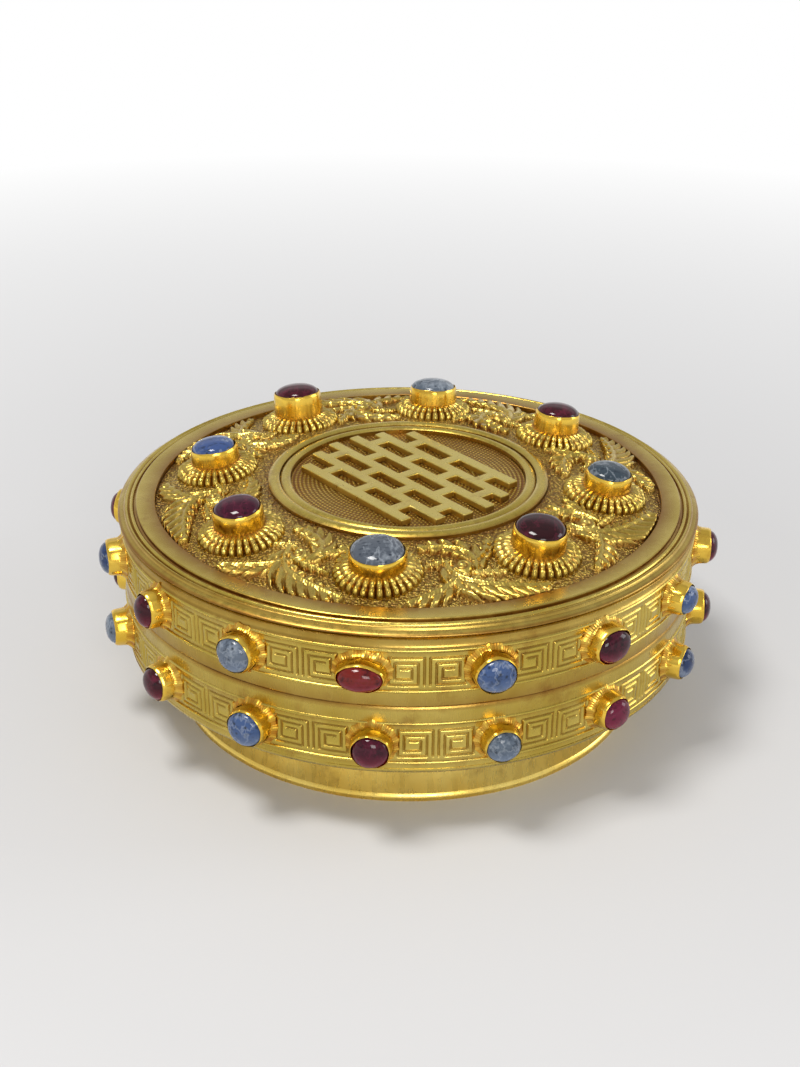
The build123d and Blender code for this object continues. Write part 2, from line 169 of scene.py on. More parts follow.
@dataclass
class Patch:
    """A grid of points in millimetres whose columns close on themselves. Its rows are wrapped as
    well, capped or left open, and each point can have a value for each attribute."""

    points: Array
    wrap_rows: bool = False
    caps: bool = False
    # cavity: painted shade and toning, 1 in recesses
    cavity: Optional[Array] = None
    stroke: Optional[Array] = None
    colour: Optional[Colour] = None

    def moved(self, matrix: Matrix) -> "Patch":
        """The same patch carried by a matrix.

        Args:
            matrix: Place and direction, 4 x 4, in millimetres.

        Returns:
            A new patch.
        """
        m = np.array(matrix)
        points = self.points @ m[:3, :3].T + m[:3, 3]
        return replace(self, points=points)

    def values(self, key: str) -> Array:
        """One number per point of a named attribute, zero where none is given."""
        given = getattr(self, key)
        return np.broadcast_to(0.0 if given is None else given, self.points.shape[:2]).ravel()

    def tints(self) -> Array:
        """Red, green, blue and alpha of each point, white where no colour is given."""
        colour = (1.0, 1.0, 1.0) if self.colour is None else self.colour
        return np.broadcast_to((*colour, 1.0), (self.points[..., 0].size, 4))

    def faces(self) -> tuple[Array, Array]:
        """Quads between the points and a many-sided face over each cap, all turned outwards.

        Returns:
            The point numbers of all faces, one after the other, and the corners of each face.
        """
        rows, columns = self.points.shape[:2]
        flat = self.points.reshape(-1, 3)
        quads = grid_faces(rows, columns, self.wrap_rows)
        rings = []
        if self.caps:
            rings = [np.arange(columns)[::-1], np.arange(columns) + (rows - 1) * columns]
        if signed_volume(flat - flat.mean(axis=0), quads) < 0:
            quads = quads[:, ::-1]
            rings = [ring[::-1] for ring in rings]
        sizes = np.array([CORNERS] * len(quads) + [columns] * len(rings))
        return np.concatenate([quads.ravel(), *rings]), sizes


def grid_faces(rows: int, columns: int, wrap_rows: bool) -> Array:
    """Quads of a grid: each joins a point to the next one round, and both to the next row.

    Args:
        rows: Number of rows.
        columns: Number of columns, which close on themselves.
        wrap_rows: Whether the last row joins the first.

    Returns:
        Four point numbers for each quad.
    """
    i = np.arange(rows if wrap_rows else rows - 1)
    i, j = np.meshgrid(i, np.arange(columns), indexing="ij")
    i2 = (i + 1) % rows
    j2 = (j + 1) % columns
    quads = np.stack([i * columns + j, i * columns + j2, i2 * columns + j2, i2 * columns + j], axis=-1)
    return quads.reshape(-1, CORNERS)


def signed_volume(points: Array, quads: Array) -> float:
    """Six times the volume that quads enclose: the triple product of each triangle's corners, summed.

    Args:
        points: Places, one row each.
        quads: Four point numbers for each quad.

    Returns:
        A number that is negative where the quads point inwards.
    """
    a, b, c, d = (points[quads[:, k]] for k in range(CORNERS))
    first = np.einsum("ij,ij->i", a, np.cross(b, c)).sum()
    second = np.einsum("ij,ij->i", a, np.cross(c, d)).sum()
    return float(first + second)


def write_faces(mesh: bpy.types.Mesh, points: Array, loops: Array, sizes: Array) -> None:
    """Fill an empty mesh with smooth faces.

    Args:
        mesh: Mesh without points.
        points: Places in metres, one row each.
        loops: Point numbers of all faces, one after the other.
        sizes: Number of corners of each face.
    """
    mesh.vertices.add(len(points))
    mesh.vertices.foreach_set("co", points.astype(np.float32).ravel())
    mesh.loops.add(len(loops))
    mesh.loops.foreach_set("vertex_index", loops.astype(np.int32))
    mesh.polygons.add(len(sizes))
    starts = np.concatenate([[0], np.cumsum(sizes)[:-1]])
    mesh.polygons.foreach_set("loop_start", starts.astype(np.int32))
    mesh.polygons.foreach_set("loop_total", sizes.astype(np.int32))
    mesh.update(calc_edges=True)
    mesh.polygons.foreach_set("use_smooth", np.ones(len(sizes), dtype=bool))


def build_mesh(name: str, patches: Sequence[Patch], sharp_deg: float = 40.0) -> bpy.types.Object:
    """Write patches into one mesh object at the origin.

    Args:
        name: Name of the new object.
        patches: Closed or capped grids in millimetres.
        sharp_deg: Edges that turn by more than this stay sharp.

    Returns:
        The linked object.
    """
    loops, sizes = [], []
    offset = 0
    for patch in patches:
        patch_loops, patch_sizes = patch.faces()
        loops.append(patch_loops + offset)
        sizes.append(patch_sizes)
        offset += patch.points[..., 0].size
    points = np.concatenate([patch.points.reshape(-1, 3) for patch in patches]) * MM
    mesh = bpy.data.meshes.new(name)
    write_faces(mesh, points, np.concatenate(loops), np.concatenate(sizes))
    for key in ("cavity", "stroke"):
        values = np.concatenate([patch.values(key) for patch in patches])
        attribute = mesh.attributes.new(key, "FLOAT", "POINT")
        attribute.data.foreach_set("value", values.astype(np.float32))
    tints = np.concatenate([patch.tints() for patch in patches])
    shade = mesh.attributes.new("tint", "FLOAT_COLOR", "POINT")
    shade.data.foreach_set("color", tints.astype(np.float32).ravel())
    mesh.set_sharp_from_angle(angle=np.radians(sharp_deg))
    piece = bpy.data.objects.new(name, mesh)
    bpy.context.collection.objects.link(piece)
    LOG.info("%s: %d points, %d faces", name, offset, len(mesh.polygons))
    return piece


def dress(piece: bpy.types.Object, material: bpy.types.Material, body: Body, slot: Slot,
          *nodes: str) -> None:
    """Give a piece its finish and its body, and hide the CAD nodes that it stands for.

    Args:
        piece: The new piece.
        material: Its finish.
        body: The rigid body that it rides on.
        slot: Its material slot in the record; not used.
        nodes: CAD nodes that it replaces.
    """
    piece.data.materials.clear()
    piece.data.materials.append(material)
    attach(piece, body.value)
    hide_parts(*nodes)


def fill_ramp(ramp: bpy.types.ColorRamp, stops: Sequence[tuple[float, Colour]]) -> None:
    """Give a new colour ramp its stops.

    Args:
        ramp: Ramp with its first two stops.
        stops: Position and colour of each stop, in order.
    """
    while len(ramp.elements) < len(stops):
        ramp.elements.new(0.5)
    for element, (where, colour) in zip(ramp.elements, stops):
        element.position = where
        element.color = (*colour, 1.0)


class Graph:
    """Short calls that add shader nodes and link them."""

    def __init__(self, name: str) -> None:
        """Start an empty node material.

        Args:
            name: Name of the material.
        """
        self.material = bpy.data.materials.new(name)
        self.material.use_nodes = True
        self.tree = self.material.node_tree
        self.tree.nodes.clear()
        self.shader = self.tree.nodes.new("ShaderNodeBsdfPrincipled")
        output = self.tree.nodes.new("ShaderNodeOutputMaterial")
        self.tree.links.new(self.shader.outputs["BSDF"], output.inputs["Surface"])
        self.place = self.tree.nodes.new("ShaderNodeTexCoord").outputs["Object"]

    def link(self, source: Value, target: Socket) -> None:
        """Link a socket, or set a plain value.

        Args:
            source: Socket to link from, or the value to set.
            target: Input that gets it.
        """
        if isinstance(source, bpy.types.NodeSocket):
            self.tree.links.new(source, target)
        else:
            target.default_value = source

    def math(self, operation: str, first: Value, second: Value = 0.0) -> Socket:
        """One Math node and its result.

        Args:
            operation: Blender's name of the operation.
            first: First value.
            second: Second value, where the operation has one.

        Returns:
            The result.
        """
        node = self.tree.nodes.new("ShaderNodeMath")
        node.operation = operation
        for value, target in zip((first, second), node.inputs):
            self.link(value, target)
        return node.outputs[0]

    def noise(self, scale: float, detail: float, rough: float, stretch: Optional[Triple] = None) -> Socket:
        """Noise over Object coordinates; scale counts features per metre.

        Args:
            scale: Features per metre.
            detail: Octaves.
            rough: Weight of the finer octaves.
            stretch: Scale along each axis, none for even noise.

        Returns:
            A value from 0 to 1.
        """
        node = self.tree.nodes.new("ShaderNodeTexNoise")
        node.inputs["Scale"].default_value = scale
        node.inputs["Detail"].default_value = detail
        node.inputs["Roughness"].default_value = rough
        place = self.place
        if stretch is not None:
            mapping = self.tree.nodes.new("ShaderNodeMapping")
            mapping.inputs["Scale"].default_value = stretch
            self.tree.links.new(place, mapping.inputs["Vector"])
            place = mapping.outputs["Vector"]
        self.tree.links.new(place, node.inputs["Vector"])
        return node.outputs["Fac"]

    def cells(self, scale: float) -> Socket:
        """Distance to the nearest of scattered points.

        Args:
            scale: Points per metre.

        Returns:
            Distance in cell widths.
        """
        node = self.tree.nodes.new("ShaderNodeTexVoronoi")
        node.inputs["Scale"].default_value = scale
        self.tree.links.new(self.place, node.inputs["Vector"])
        return node.outputs["Distance"]

    def ramp(self, value: Value, stops: Sequence[tuple[float, Colour]]) -> Socket:
        """Colour ramp through the given stops.

        Args:
            value: Where to read the ramp.
            stops: Position and colour of each stop.

        Returns:
            The colour.
        """
        node = self.tree.nodes.new("ShaderNodeValToRGB")
        fill_ramp(node.color_ramp, stops)
        self.link(value, node.inputs["Fac"])
        return node.outputs["Color"]

    def spread(self, value: Value, low: float, high: float, to_low: float, to_high: float) -> Socket:
        """Clamped linear map of a value.

        Args:
            value: Value to map.
            low: Lower end of its range.
            high: Upper end of its range.
            to_low: Result at the lower end.
            to_high: Result at the upper end.

        Returns:
            The mapped value.
        """
        node = self.tree.nodes.new("ShaderNodeMapRange")
        limits = {"From Min": low, "From Max": high, "To Min": to_low, "To Max": to_high}
        for key, number in limits.items():
            node.inputs[key].default_value = number
        self.link(value, node.inputs["Value"])
        return node.outputs["Result"]

    def mix(self, share: Value, first: Value, second: Value) -> Socket:
        """Mix of two colours.

        Args:
            share: Share of the second colour.
            first: First colour.
            second: Second colour.

        Returns:
            The mixed colour.
        """
        node = self.tree.nodes.new("ShaderNodeMix")
        node.data_type = "RGBA"
        self.link(share, node.inputs["Factor"])
        for value, key in ((first, "A"), (second, "B")):
            target = next(s for s in node.inputs if s.name == key and s.type == "RGBA")
            self.link((*value, 1.0) if isinstance(value, tuple) else value, target)
        return next(s for s in node.outputs if s.type == "RGBA")

    def attribute(self, name: str, output: str = "Fac") -> Socket:
        """A value that the mesh carries at each point.

        Args:
            name: Name of the attribute.
            output: Which output of the node to read.

        Returns:
            The value or colour.
        """
        node = self.tree.nodes.new("ShaderNodeAttribute")
        node.attribute_name = name
        return node.outputs[output]

    def bump(self, height: Value, depth: float, strength: float, under: Optional[Socket] = None) -> Socket:
        """Bump of a given depth, over another bump if one is given.

        Args:
            height: Height as a share of the depth.
            depth: Depth in millimetres.
            strength: Share of the slope that shows.
            under: Normal of a bump below this one.

        Returns:
            The bumped normal.
        """
        node = self.tree.nodes.new("ShaderNodeBump")
        node.inputs["Strength"].default_value = strength
        node.inputs["Distance"].default_value = depth * MM
        self.link(height, node.inputs["Height"])
        if under is not None:
            self.tree.links.new(under, node.inputs["Normal"])
        return node.outputs["Normal"]


@dataclass(frozen=True)
class GiltFinish:
    """Gilded metal: open faces, warm hollows that are partly toned gilding and partly painted shade, and
    how it is worked.
    Scales count features per metre, and depths are millimetres."""

    name: str
    face: Colour
    pale: Colour
    # hollow: dark colour of worn patches, and of the toning and painted shade in recesses
    hollow: Colour
    roughness: float
    grain: Grain
    hollow_share: float = 1.0
    broad_scale: float = 70.0
    wear_scale: float = 150.0
    wear_share: float = 0.55
    fine_scale: float = 1100.0
    streak_scale: float = 850.0
    streak_stretch: Triple = (1.0, 1.0, 0.12)
    streak_depth: float = 0.05
    grit_scales: Pair = (1750.0, 2900.0)
    grit_shares: Pair = (0.65, 0.35)
    grit_depth: float = 0.55
    punch_pitch: float = 0.72
    punch_depth: float = 0.5
    dent_scale: float = 620.0
    dent_depth: float = 0.07
    lines_per_part: int = 4
    line_depth: float = 0.03
    pale_from: Pair = (0.35, 0.68)
    worn_from: Pair = (0.56, 0.74)
    # how much painted shade and toning the cavity value gives, varied by broad noise
    toning_and_shade_from: Pair = (0.25, 0.7)
    toning_and_shade_shares: Pair = (1.0, 0.55)
    gloss_from: Pair = (0.3, 0.75)
    gloss_less: float = 0.07
    gloss_more: float = 0.11
    tone_and_shade_dullness: float = 0.12

    def punches(self, graph: Graph) -> Socket:
        """Round punch marks in rings about the axis. A ring is the whole number of pitches in the
        radius, it is cut into as many parts as fit round it, and each mark is a dome that falls off
        with the squared distance from the middle of its part.

        Args:
            graph: Material that the marks belong to.

        Returns:
            Height from 0 between the marks to 1 on them.
        """
        split = graph.tree.nodes.new("ShaderNodeSeparateXYZ")
        graph.tree.links.new(graph.place, split.inputs[0])
        x, y = split.outputs["X"], split.outputs["Y"]
        squared = graph.math("ADD", graph.math("MULTIPLY", x, x), graph.math("MULTIPLY", y, y))
        rings = graph.math("DIVIDE", graph.math("SQRT", squared), self.punch_pitch * MM)
        ring = graph.math("ADD", graph.math("FLOOR", rings), 0.5)
        count = graph.math("ROUND", graph.math("MULTIPLY", ring, TAU))
        turn = graph.math("DIVIDE", graph.math("ARCTAN2", y, x), TAU)
        across = graph.math("SUBTRACT", graph.math("FRACT", rings), 0.5)
        along = graph.math("SUBTRACT", graph.math("FRACT", graph.math("MULTIPLY", turn, count)), 0.5)
        squares = graph.math("MULTIPLY", across, across)
        squares = graph.math("ADD", squares, graph.math("MULTIPLY", along, along))
        return graph.spread(squares, 0.015, 0.17, 1.0, 0.0)

    def worked(self, graph: Graph, normal: Socket, shade_and_tone: Socket) -> tuple[Socket, Socket]:
        """Add the marks of the grain: two sizes of grit, punch marks, or soft dents under fine lines
        that follow the mesh's stroke value as a cosine. Each mark adds painted shade and toning to its low
        parts.

        Args:
            graph: Material that the marks belong to.
            normal: Normal of the surface so far.
            shade_and_tone: How much painted shade and toning darken the surface so far.

        Returns:
            The normal, and the painted shade and toning with the marks.
        """
        if self.grain is Grain.GRANULAR:
            sizes = (graph.math("MULTIPLY", graph.cells(scale), share)
                     for scale, share in zip(self.grit_scales, self.grit_shares))
            grit = graph.math("ADD", *sizes)
            normal = graph.bump(graph.math("SUBTRACT", 1.0, grit), self.grit_depth, 1.0, normal)
            # painted shade and toning in the gaps between the grains
            shade_and_tone = graph.math("ADD", shade_and_tone, graph.spread(grit, 0.25, 0.6, 0.0, 0.9))
        if self.grain is Grain.PUNCHED:
            marks = self.punches(graph)
            normal = graph.bump(marks, self.punch_depth, 1.0, normal)
            # painted shade and toning between the punch marks
            shade_and_tone = graph.math("ADD", shade_and_tone, graph.spread(marks, 0.0, 0.75, 1.0, 0.0))
        if self.grain is Grain.CHASED:
            normal = graph.bump(graph.noise(self.dent_scale, 2.0, 0.5), self.dent_depth, 0.35, normal)
            phase = graph.math("MULTIPLY", graph.attribute("stroke"), self.lines_per_part * TAU)
            lines = graph.math("COSINE", phase)
            normal = graph.bump(lines, self.line_depth, 0.4, normal)
            # painted shade and toning in the troughs of the chased lines
            shade_and_tone = graph.math("ADD", shade_and_tone, graph.spread(lines, -1.0, -0.1, 0.25, 0.0))
        return normal, shade_and_tone

    def material(self) -> bpy.types.Material:
        """Build the node material: pale and worn patches, hollows darkened by the mesh's cavity value as
        toning and painted shade, and upright burnishing streaks in the relief and the gloss.

        Returns:
            The new material.
        """
        graph = Graph(self.name)
        broad = graph.noise(self.broad_scale, 4.0, 0.6)
        wear = graph.noise(self.wear_scale, 5.0, 0.7)
        fine = graph.noise(self.fine_scale, 3.0, 0.6)
        streaks = graph.noise(self.streak_scale, 3.0, 0.6, self.streak_stretch)
        colour = graph.mix(graph.spread(broad, *self.pale_from, 0.0, 1.0), self.face, self.pale)
        worn = graph.spread(wear, *self.worn_from, 0.0, self.wear_share)
        colour = graph.mix(worn, colour, self.hollow)
        height = graph.math("ADD", graph.math("MULTIPLY", fine, 0.5), graph.math("MULTIPLY", streaks, 0.5))
        normal = graph.bump(height, self.streak_depth, 0.35)
        # painted shade and toning: the cavity value, varied by broad noise, darkens recesses towards the
        # hollow colour
        toning_and_shade = graph.spread(broad, *self.toning_and_shade_from, *self.toning_and_shade_shares)
        shade_and_tone = graph.math("MULTIPLY", graph.attribute("cavity"), toning_and_shade)
        normal, shade_and_tone = self.worked(graph, normal, shade_and_tone)
        shade_and_tone = graph.math("MINIMUM", graph.math("MULTIPLY", shade_and_tone, self.hollow_share), 1.0)
        finest, dullest = self.roughness - self.gloss_less, self.roughness + self.gloss_more
        gloss = graph.math("ADD", graph.spread(streaks, *self.gloss_from, finest, dullest),
                           graph.math("MULTIPLY", shade_and_tone, self.tone_and_shade_dullness))
        inputs = graph.shader.inputs
        inputs["Metallic"].default_value = 1.0
        # the base colour takes the painted shade and toning
        graph.link(graph.mix(shade_and_tone, colour, self.hollow), inputs["Base Color"])
        graph.link(gloss, inputs["Roughness"])
        graph.link(normal, inputs["Normal"])
        return graph.material


@dataclass(frozen=True)
class StoneFinish:
    """Polished stone: its own tint from the mesh, clouds, dark veins and specks, pale streaks and a
    painted glow, as of light coming through the stone, on the side that faces down. Scales count features
    per metre."""

    name: str
    cloud: Colour
    cloud_share: float
    dark: Colour
    speck: float
    # colour of the painted glow of light through the stone
    glow: Colour
    ior: float = 1.58
    specular: float = 0.24
    cloud_scale: float = 330.0
    vein_scale: float = 620.0
    vein_stretch: Triple = (1.0, 2.2, 1.4)
    vein_depth: float = 0.05
    speck_scale: float = 780.0
    flow_scale: float = 240.0
    flow_stretch: Triple = (1.6, 0.8, 1.2)
    cloud_from: Pair = (0.54, 0.72)
    vein_from: Pair = (0.52, 0.66)
    vein_share: float = 0.75
    streak_w: float = 0.035
    streak_share: float = 0.6
    speck_share: float = 0.9
    glow_from: Pair = (-0.8, 0.1)
    painted_glow_share: float = 0.6
    gloss_from: Pair = (0.3, 0.7)
    gloss: Pair = (0.05, 0.12)

    def material(self) -> bpy.types.Material:
        """Build the node material: each layer's share is mixed over the tint in turn. A streak runs
        where a slow noise crosses its middle value.

        Returns:
            The new material.
        """
        graph = Graph(self.name)
        clouds = graph.noise(self.cloud_scale, 5.0, 0.62)
        veins = graph.noise(self.vein_scale, 4.0, 0.7, self.vein_stretch)
        specks = graph.cells(self.speck_scale)
        flow = graph.noise(self.flow_scale, 3.0, 0.6, self.flow_stretch)
        streaks = graph.math("ABSOLUTE", graph.math("SUBTRACT", flow, 0.5))
        split = graph.tree.nodes.new("ShaderNodeSeparateXYZ")
        facing = graph.tree.nodes.new("ShaderNodeNewGeometry").outputs["Normal"]
        graph.tree.links.new(facing, split.inputs[0])
        layers = (
            (graph.spread(clouds, *self.cloud_from, 0.0, self.cloud_share), self.cloud),
            (graph.spread(veins, *self.vein_from, 0.0, self.vein_share), self.dark),
            (graph.spread(streaks, 0.0, self.streak_w, self.streak_share * self.cloud_share, 0.0),
             self.cloud),
            (graph.spread(specks, 0.3 * self.speck, self.speck, self.speck_share, 0.0), self.dark),
            # painted light: the side that faces down takes the glow colour, as light coming through the
            # stone
            (graph.spread(split.outputs["Z"], *self.glow_from, self.painted_glow_share, 0.0), self.glow),
        )
        colour = graph.attribute("tint", "Color")
        for share, layer in layers:
            colour = graph.mix(share, colour, layer)
        inputs = graph.shader.inputs
        inputs["IOR"].default_value = self.ior
        inputs["Specular IOR Level"].default_value = self.specular
        graph.link(colour, inputs["Base Color"])
        graph.link(graph.spread(veins, *self.gloss_from, *self.gloss), inputs["Roughness"])
        graph.link(graph.bump(veins, self.vein_depth, 0.15), inputs["Normal"])
        return graph.material


OLIVE_GOLD: Colour = (0.52, 0.385, 0.066)
PALE_GOLD: Colour = (0.66, 0.51, 0.13)
WARM_GOLD: Colour = (0.82, 0.52, 0.06)
# dark colours of worn patches and hollows: toned gilding, and painted shade where the cavity value darkens
# recesses
TONE_AND_SHADE: Colour = (0.25, 0.098, 0.02)
RED_TONE_AND_SHADE: Colour = (0.42, 0.15, 0.015)
CHASED_GILT = GiltFinish("chased_gilt", OLIVE_GOLD, PALE_GOLD, TONE_AND_SHADE, 0.25, Grain.CHASED, 1.0)
SMOOTH_GILT = GiltFinish("smooth_gilt", OLIVE_GOLD, PALE_GOLD, TONE_AND_SHADE, 0.24, Grain.SMOOTH, 1.0)
FOOT_GILT = GiltFinish("foot_gilt", (0.86, 0.58, 0.11), (0.94, 0.72, 0.2), TONE_AND_SHADE, 0.28, Grain.SMOOTH, 0.6)
BRIGHT_GILT = GiltFinish("bright_gilt", WARM_GOLD, (0.84, 0.58, 0.10), RED_TONE_AND_SHADE, 0.2, Grain.SMOOTH, 0.8)
CUP_GILT = GiltFinish("cup_gilt", WARM_GOLD, (0.86, 0.62, 0.13), RED_TONE_AND_SHADE, 0.24, Grain.CHASED, 0.9)
GROUND_GILT = GiltFinish("granular_gilt", (0.47, 0.33, 0.06), (0.60, 0.46, 0.12), (0.19, 0.10, 0.028), 0.33,
                         Grain.GRANULAR, 0.95)
BAR_GILT = GiltFinish("bar_gilt", PALE_GOLD, (0.76, 0.62, 0.19), TONE_AND_SHADE, 0.3, Grain.CHASED, 0.85)
PUNCHED_GILT = GiltFinish("punched_gilt", (0.56, 0.39, 0.08), PALE_GOLD, (0.24, 0.10, 0.02), 0.32,
                          Grain.PUNCHED, 0.9)
# the last colour of each stone finish is its painted glow
RED_STONE = StoneFinish("red_cabochon", (0.26, 0.025, 0.07), 0.2, (0.006, 0.0005, 0.002), 0.14,
                        (0.30, 0.012, 0.05))
BLUE_STONE = StoneFinish("blue_cabochon", (0.38, 0.42, 0.47), 0.5, (0.012, 0.018, 0.03), 0.26,
                         (0.22, 0.30, 0.46))


class Finishes:
    """Node materials, each built once and then shared."""

    def __init__(self) -> None:
        """Start with none built."""
        self.built: dict[str, bpy.types.Material] = {}

    def get(self, finish: GiltFinish | StoneFinish) -> bpy.types.Material:
        """The material of a finish.

        Args:
            finish: Gilt or stone finish.

        Returns:
            Its material, built on the first call.
        """
        if finish.name not in self.built:
            self.built[finish.name] = finish.material()
        return self.built[finish.name]


def rounded(points: Sequence[Pair], radius: float, steps: int = 4) -> Array:
    """Closed outline whose corners are eased: each corner becomes a quadratic curve between two
    points set back along its sides by the radius, or by less where a side is short.

    Args:
        points: Corners of the outline.
        radius: How far the curve reaches along each side.
        steps: Points of each curve.

    Returns:
        The new outline.
    """
    corners = np.array(points, dtype=float)
    before = np.roll(corners, 1, axis=0)
    after = np.roll(corners, -1, axis=0)
    result = []
    for here, back, ahead in zip(corners, before, after):
        ends = []
        for side in (back - here, ahead - here):
            reach = min(radius, 0.4 * np.linalg.norm(side))
            ends.append(here + side / np.linalg.norm(side) * reach)
        result.append(bent(ends[0], here, ends[1], steps))
    return np.concatenate(result)


def bent(start: Pair, handle: Pair, end: Pair, count: int = 22) -> Array:
    """Quadratic curve: its ends and its handle are weighed by the squares of the shares left and
    run, and by twice their product.

    Args:
        start: First point.
        handle: Point that the curve is drawn towards.
        end: Last point.
        count: Points on the curve.

    Returns:
        Points along the curve.
    """
    t = np.linspace(0, 1, count)[:, None]
    a, h, b = np.array(start), np.array(handle), np.array(end)
    return (1 - t) ** 2 * a + 2 * t * (1 - t) * h + t ** 2 * b


def arc_points(start: Pair, top: Pair, end: Pair, count: int = 8) -> list[Pair]:
    """Points of a parabola through three points: the middle one is its top, so the curve's handle
    lies twice as far from the chord as it does.

    Args:
        start: First point.
        top: Point that the curve passes half way.
        end: Last point.
        count: Points on the curve.

    Returns:
        Points along the curve.
    """
    a, m, b = (np.array(p, dtype=float) for p in (start, top, end))
    return [tuple(p) for p in bent(a, 2 * m - (a + b) / 2, b, count)]


def supported(profile: Array, cavity: Optional[Array], closed: bool) -> tuple[Array, Optional[Array]]:
    """Outline with two more points near the ends of each long side, so that flat faces shade flat.

    Args:
        profile: Radius and height of each point.
        cavity: How recessed each point is, if it is given.
        closed: Whether the last point joins the first.

    Returns:
        The outline with the added points, and their recess.
    """
    ring = np.vstack([profile, profile[:1]]) if closed else profile
    length = np.linalg.norm(np.diff(ring, axis=0), axis=1)
    wide = length > 0.6
    start = np.arange(len(length))[wide]
    share = 0.1 / length[wide]
    at = np.sort(np.concatenate([np.arange(len(profile)), start + share, start + 1 - share]))
    index = np.arange(len(ring))
    result = np.stack([np.interp(at, index, ring[:, 0]), np.interp(at, index, ring[:, 1])], axis=1)
    if cavity is None:
        return result, None
    values = np.append(cavity, cavity[0]) if closed else cavity
    return result, np.interp(at, index, values)


def turned(radius: Array, turn: Array, height: Array) -> Array:
    """Points at a radius and an angle about the axis, measured from +X, and at a height.

    Args:
        radius: Radius of each point.
        turn: Angle of each column in radians.
        height: Height of each point, or of each row.

    Returns:
        A grid of points.
    """
    height = np.broadcast_to(height, radius.shape)
    return np.stack([radius * np.cos(turn), radius * np.sin(turn), height], axis=-1)


def lathe(profile: Array, columns: int = 384, wobble: float = 0.03, seed: float = 0.0,
          cavity: Optional[Array] = None) -> Patch:
    """Closed profile carried round the axis. Its radius has a wobble made of three sine waves, and
    its height has the same wave, smaller and a fifth of a turn on.

    Args:
        profile: Radius and height of each point of the closed outline.
        columns: Steps round the axis.
        wobble: Size of the wobble in millimetres.
        seed: Phase of the wobble.
        cavity: How recessed each point of the outline is, from 0 to 1.

    Returns:
        A patch closed both ways.
    """
    profile, cavity = supported(profile, cavity, True)
    turn = np.linspace(0, TAU, columns, endpoint=False)
    slow = np.sin(3 * turn + seed)
    wave = wobble * (slow + 0.6 * np.sin(7 * turn + 2.1 * seed) + 0.4 * np.sin(17 * turn + seed))
    radius = profile[:, :1] + np.where(profile[:, :1] > 1.0, wave[None, :], 0.0)
    lift = 0.35 * np.roll(wave, columns // 5)[None, :] * np.clip(profile[:, 1:], 0.0, 1.0)
    height = profile[:, 1:] + np.where(profile[:, :1] > 1.0, lift, 0.0)
    depth = None if cavity is None else np.broadcast_to(cavity[:, None], radius.shape)
    return Patch(turned(radius, turn, height), wrap_rows=True, cavity=depth)


def capped_lathe(profile: Array, columns: int = 384, cavity: Optional[Array] = None) -> Patch:
    """Profile from near the axis, round the rim and back to near the axis, closed by two caps.

    Args:
        profile: Radius and height of each point of the outline.
        columns: Steps round the axis.
        cavity: How recessed each point of the outline is, from 0 to 1.

    Returns:
        A capped patch.
    """
    profile, cavity = supported(profile, cavity, False)
    turn = np.linspace(0, TAU, columns, endpoint=False)
    radius = np.broadcast_to(profile[:, :1], (len(profile), columns))
    depth = None if cavity is None else np.broadcast_to(cavity[:, None], radius.shape)
    return Patch(turned(radius, turn, profile[:, 1:]), caps=True, cavity=depth)


def recess_of(profile: Array, reach: float, spread: int = 6) -> Array:
    """How recessed each point of an outline is: its distance inside the average of its neighbours.

    Args:
        profile: Radius and height of each point of the closed outline.
        reach: Distance that counts as fully recessed.
        spread: Neighbours on each side that are averaged.

    Returns:
        A value from 0 to 1 for each point.
    """
    smooth = np.zeros_like(profile)
    for k in range(-spread, spread + 1):
        smooth += np.roll(profile, k, axis=0) / (2 * spread + 1)
    offset = np.linalg.norm(profile - smooth, axis=1)
    inward = (smooth[:, 0] > profile[:, 0]) | (smooth[:, 1] > profile[:, 1])
    return np.clip(np.where(inward, offset / reach, 0.0), 0, 1)


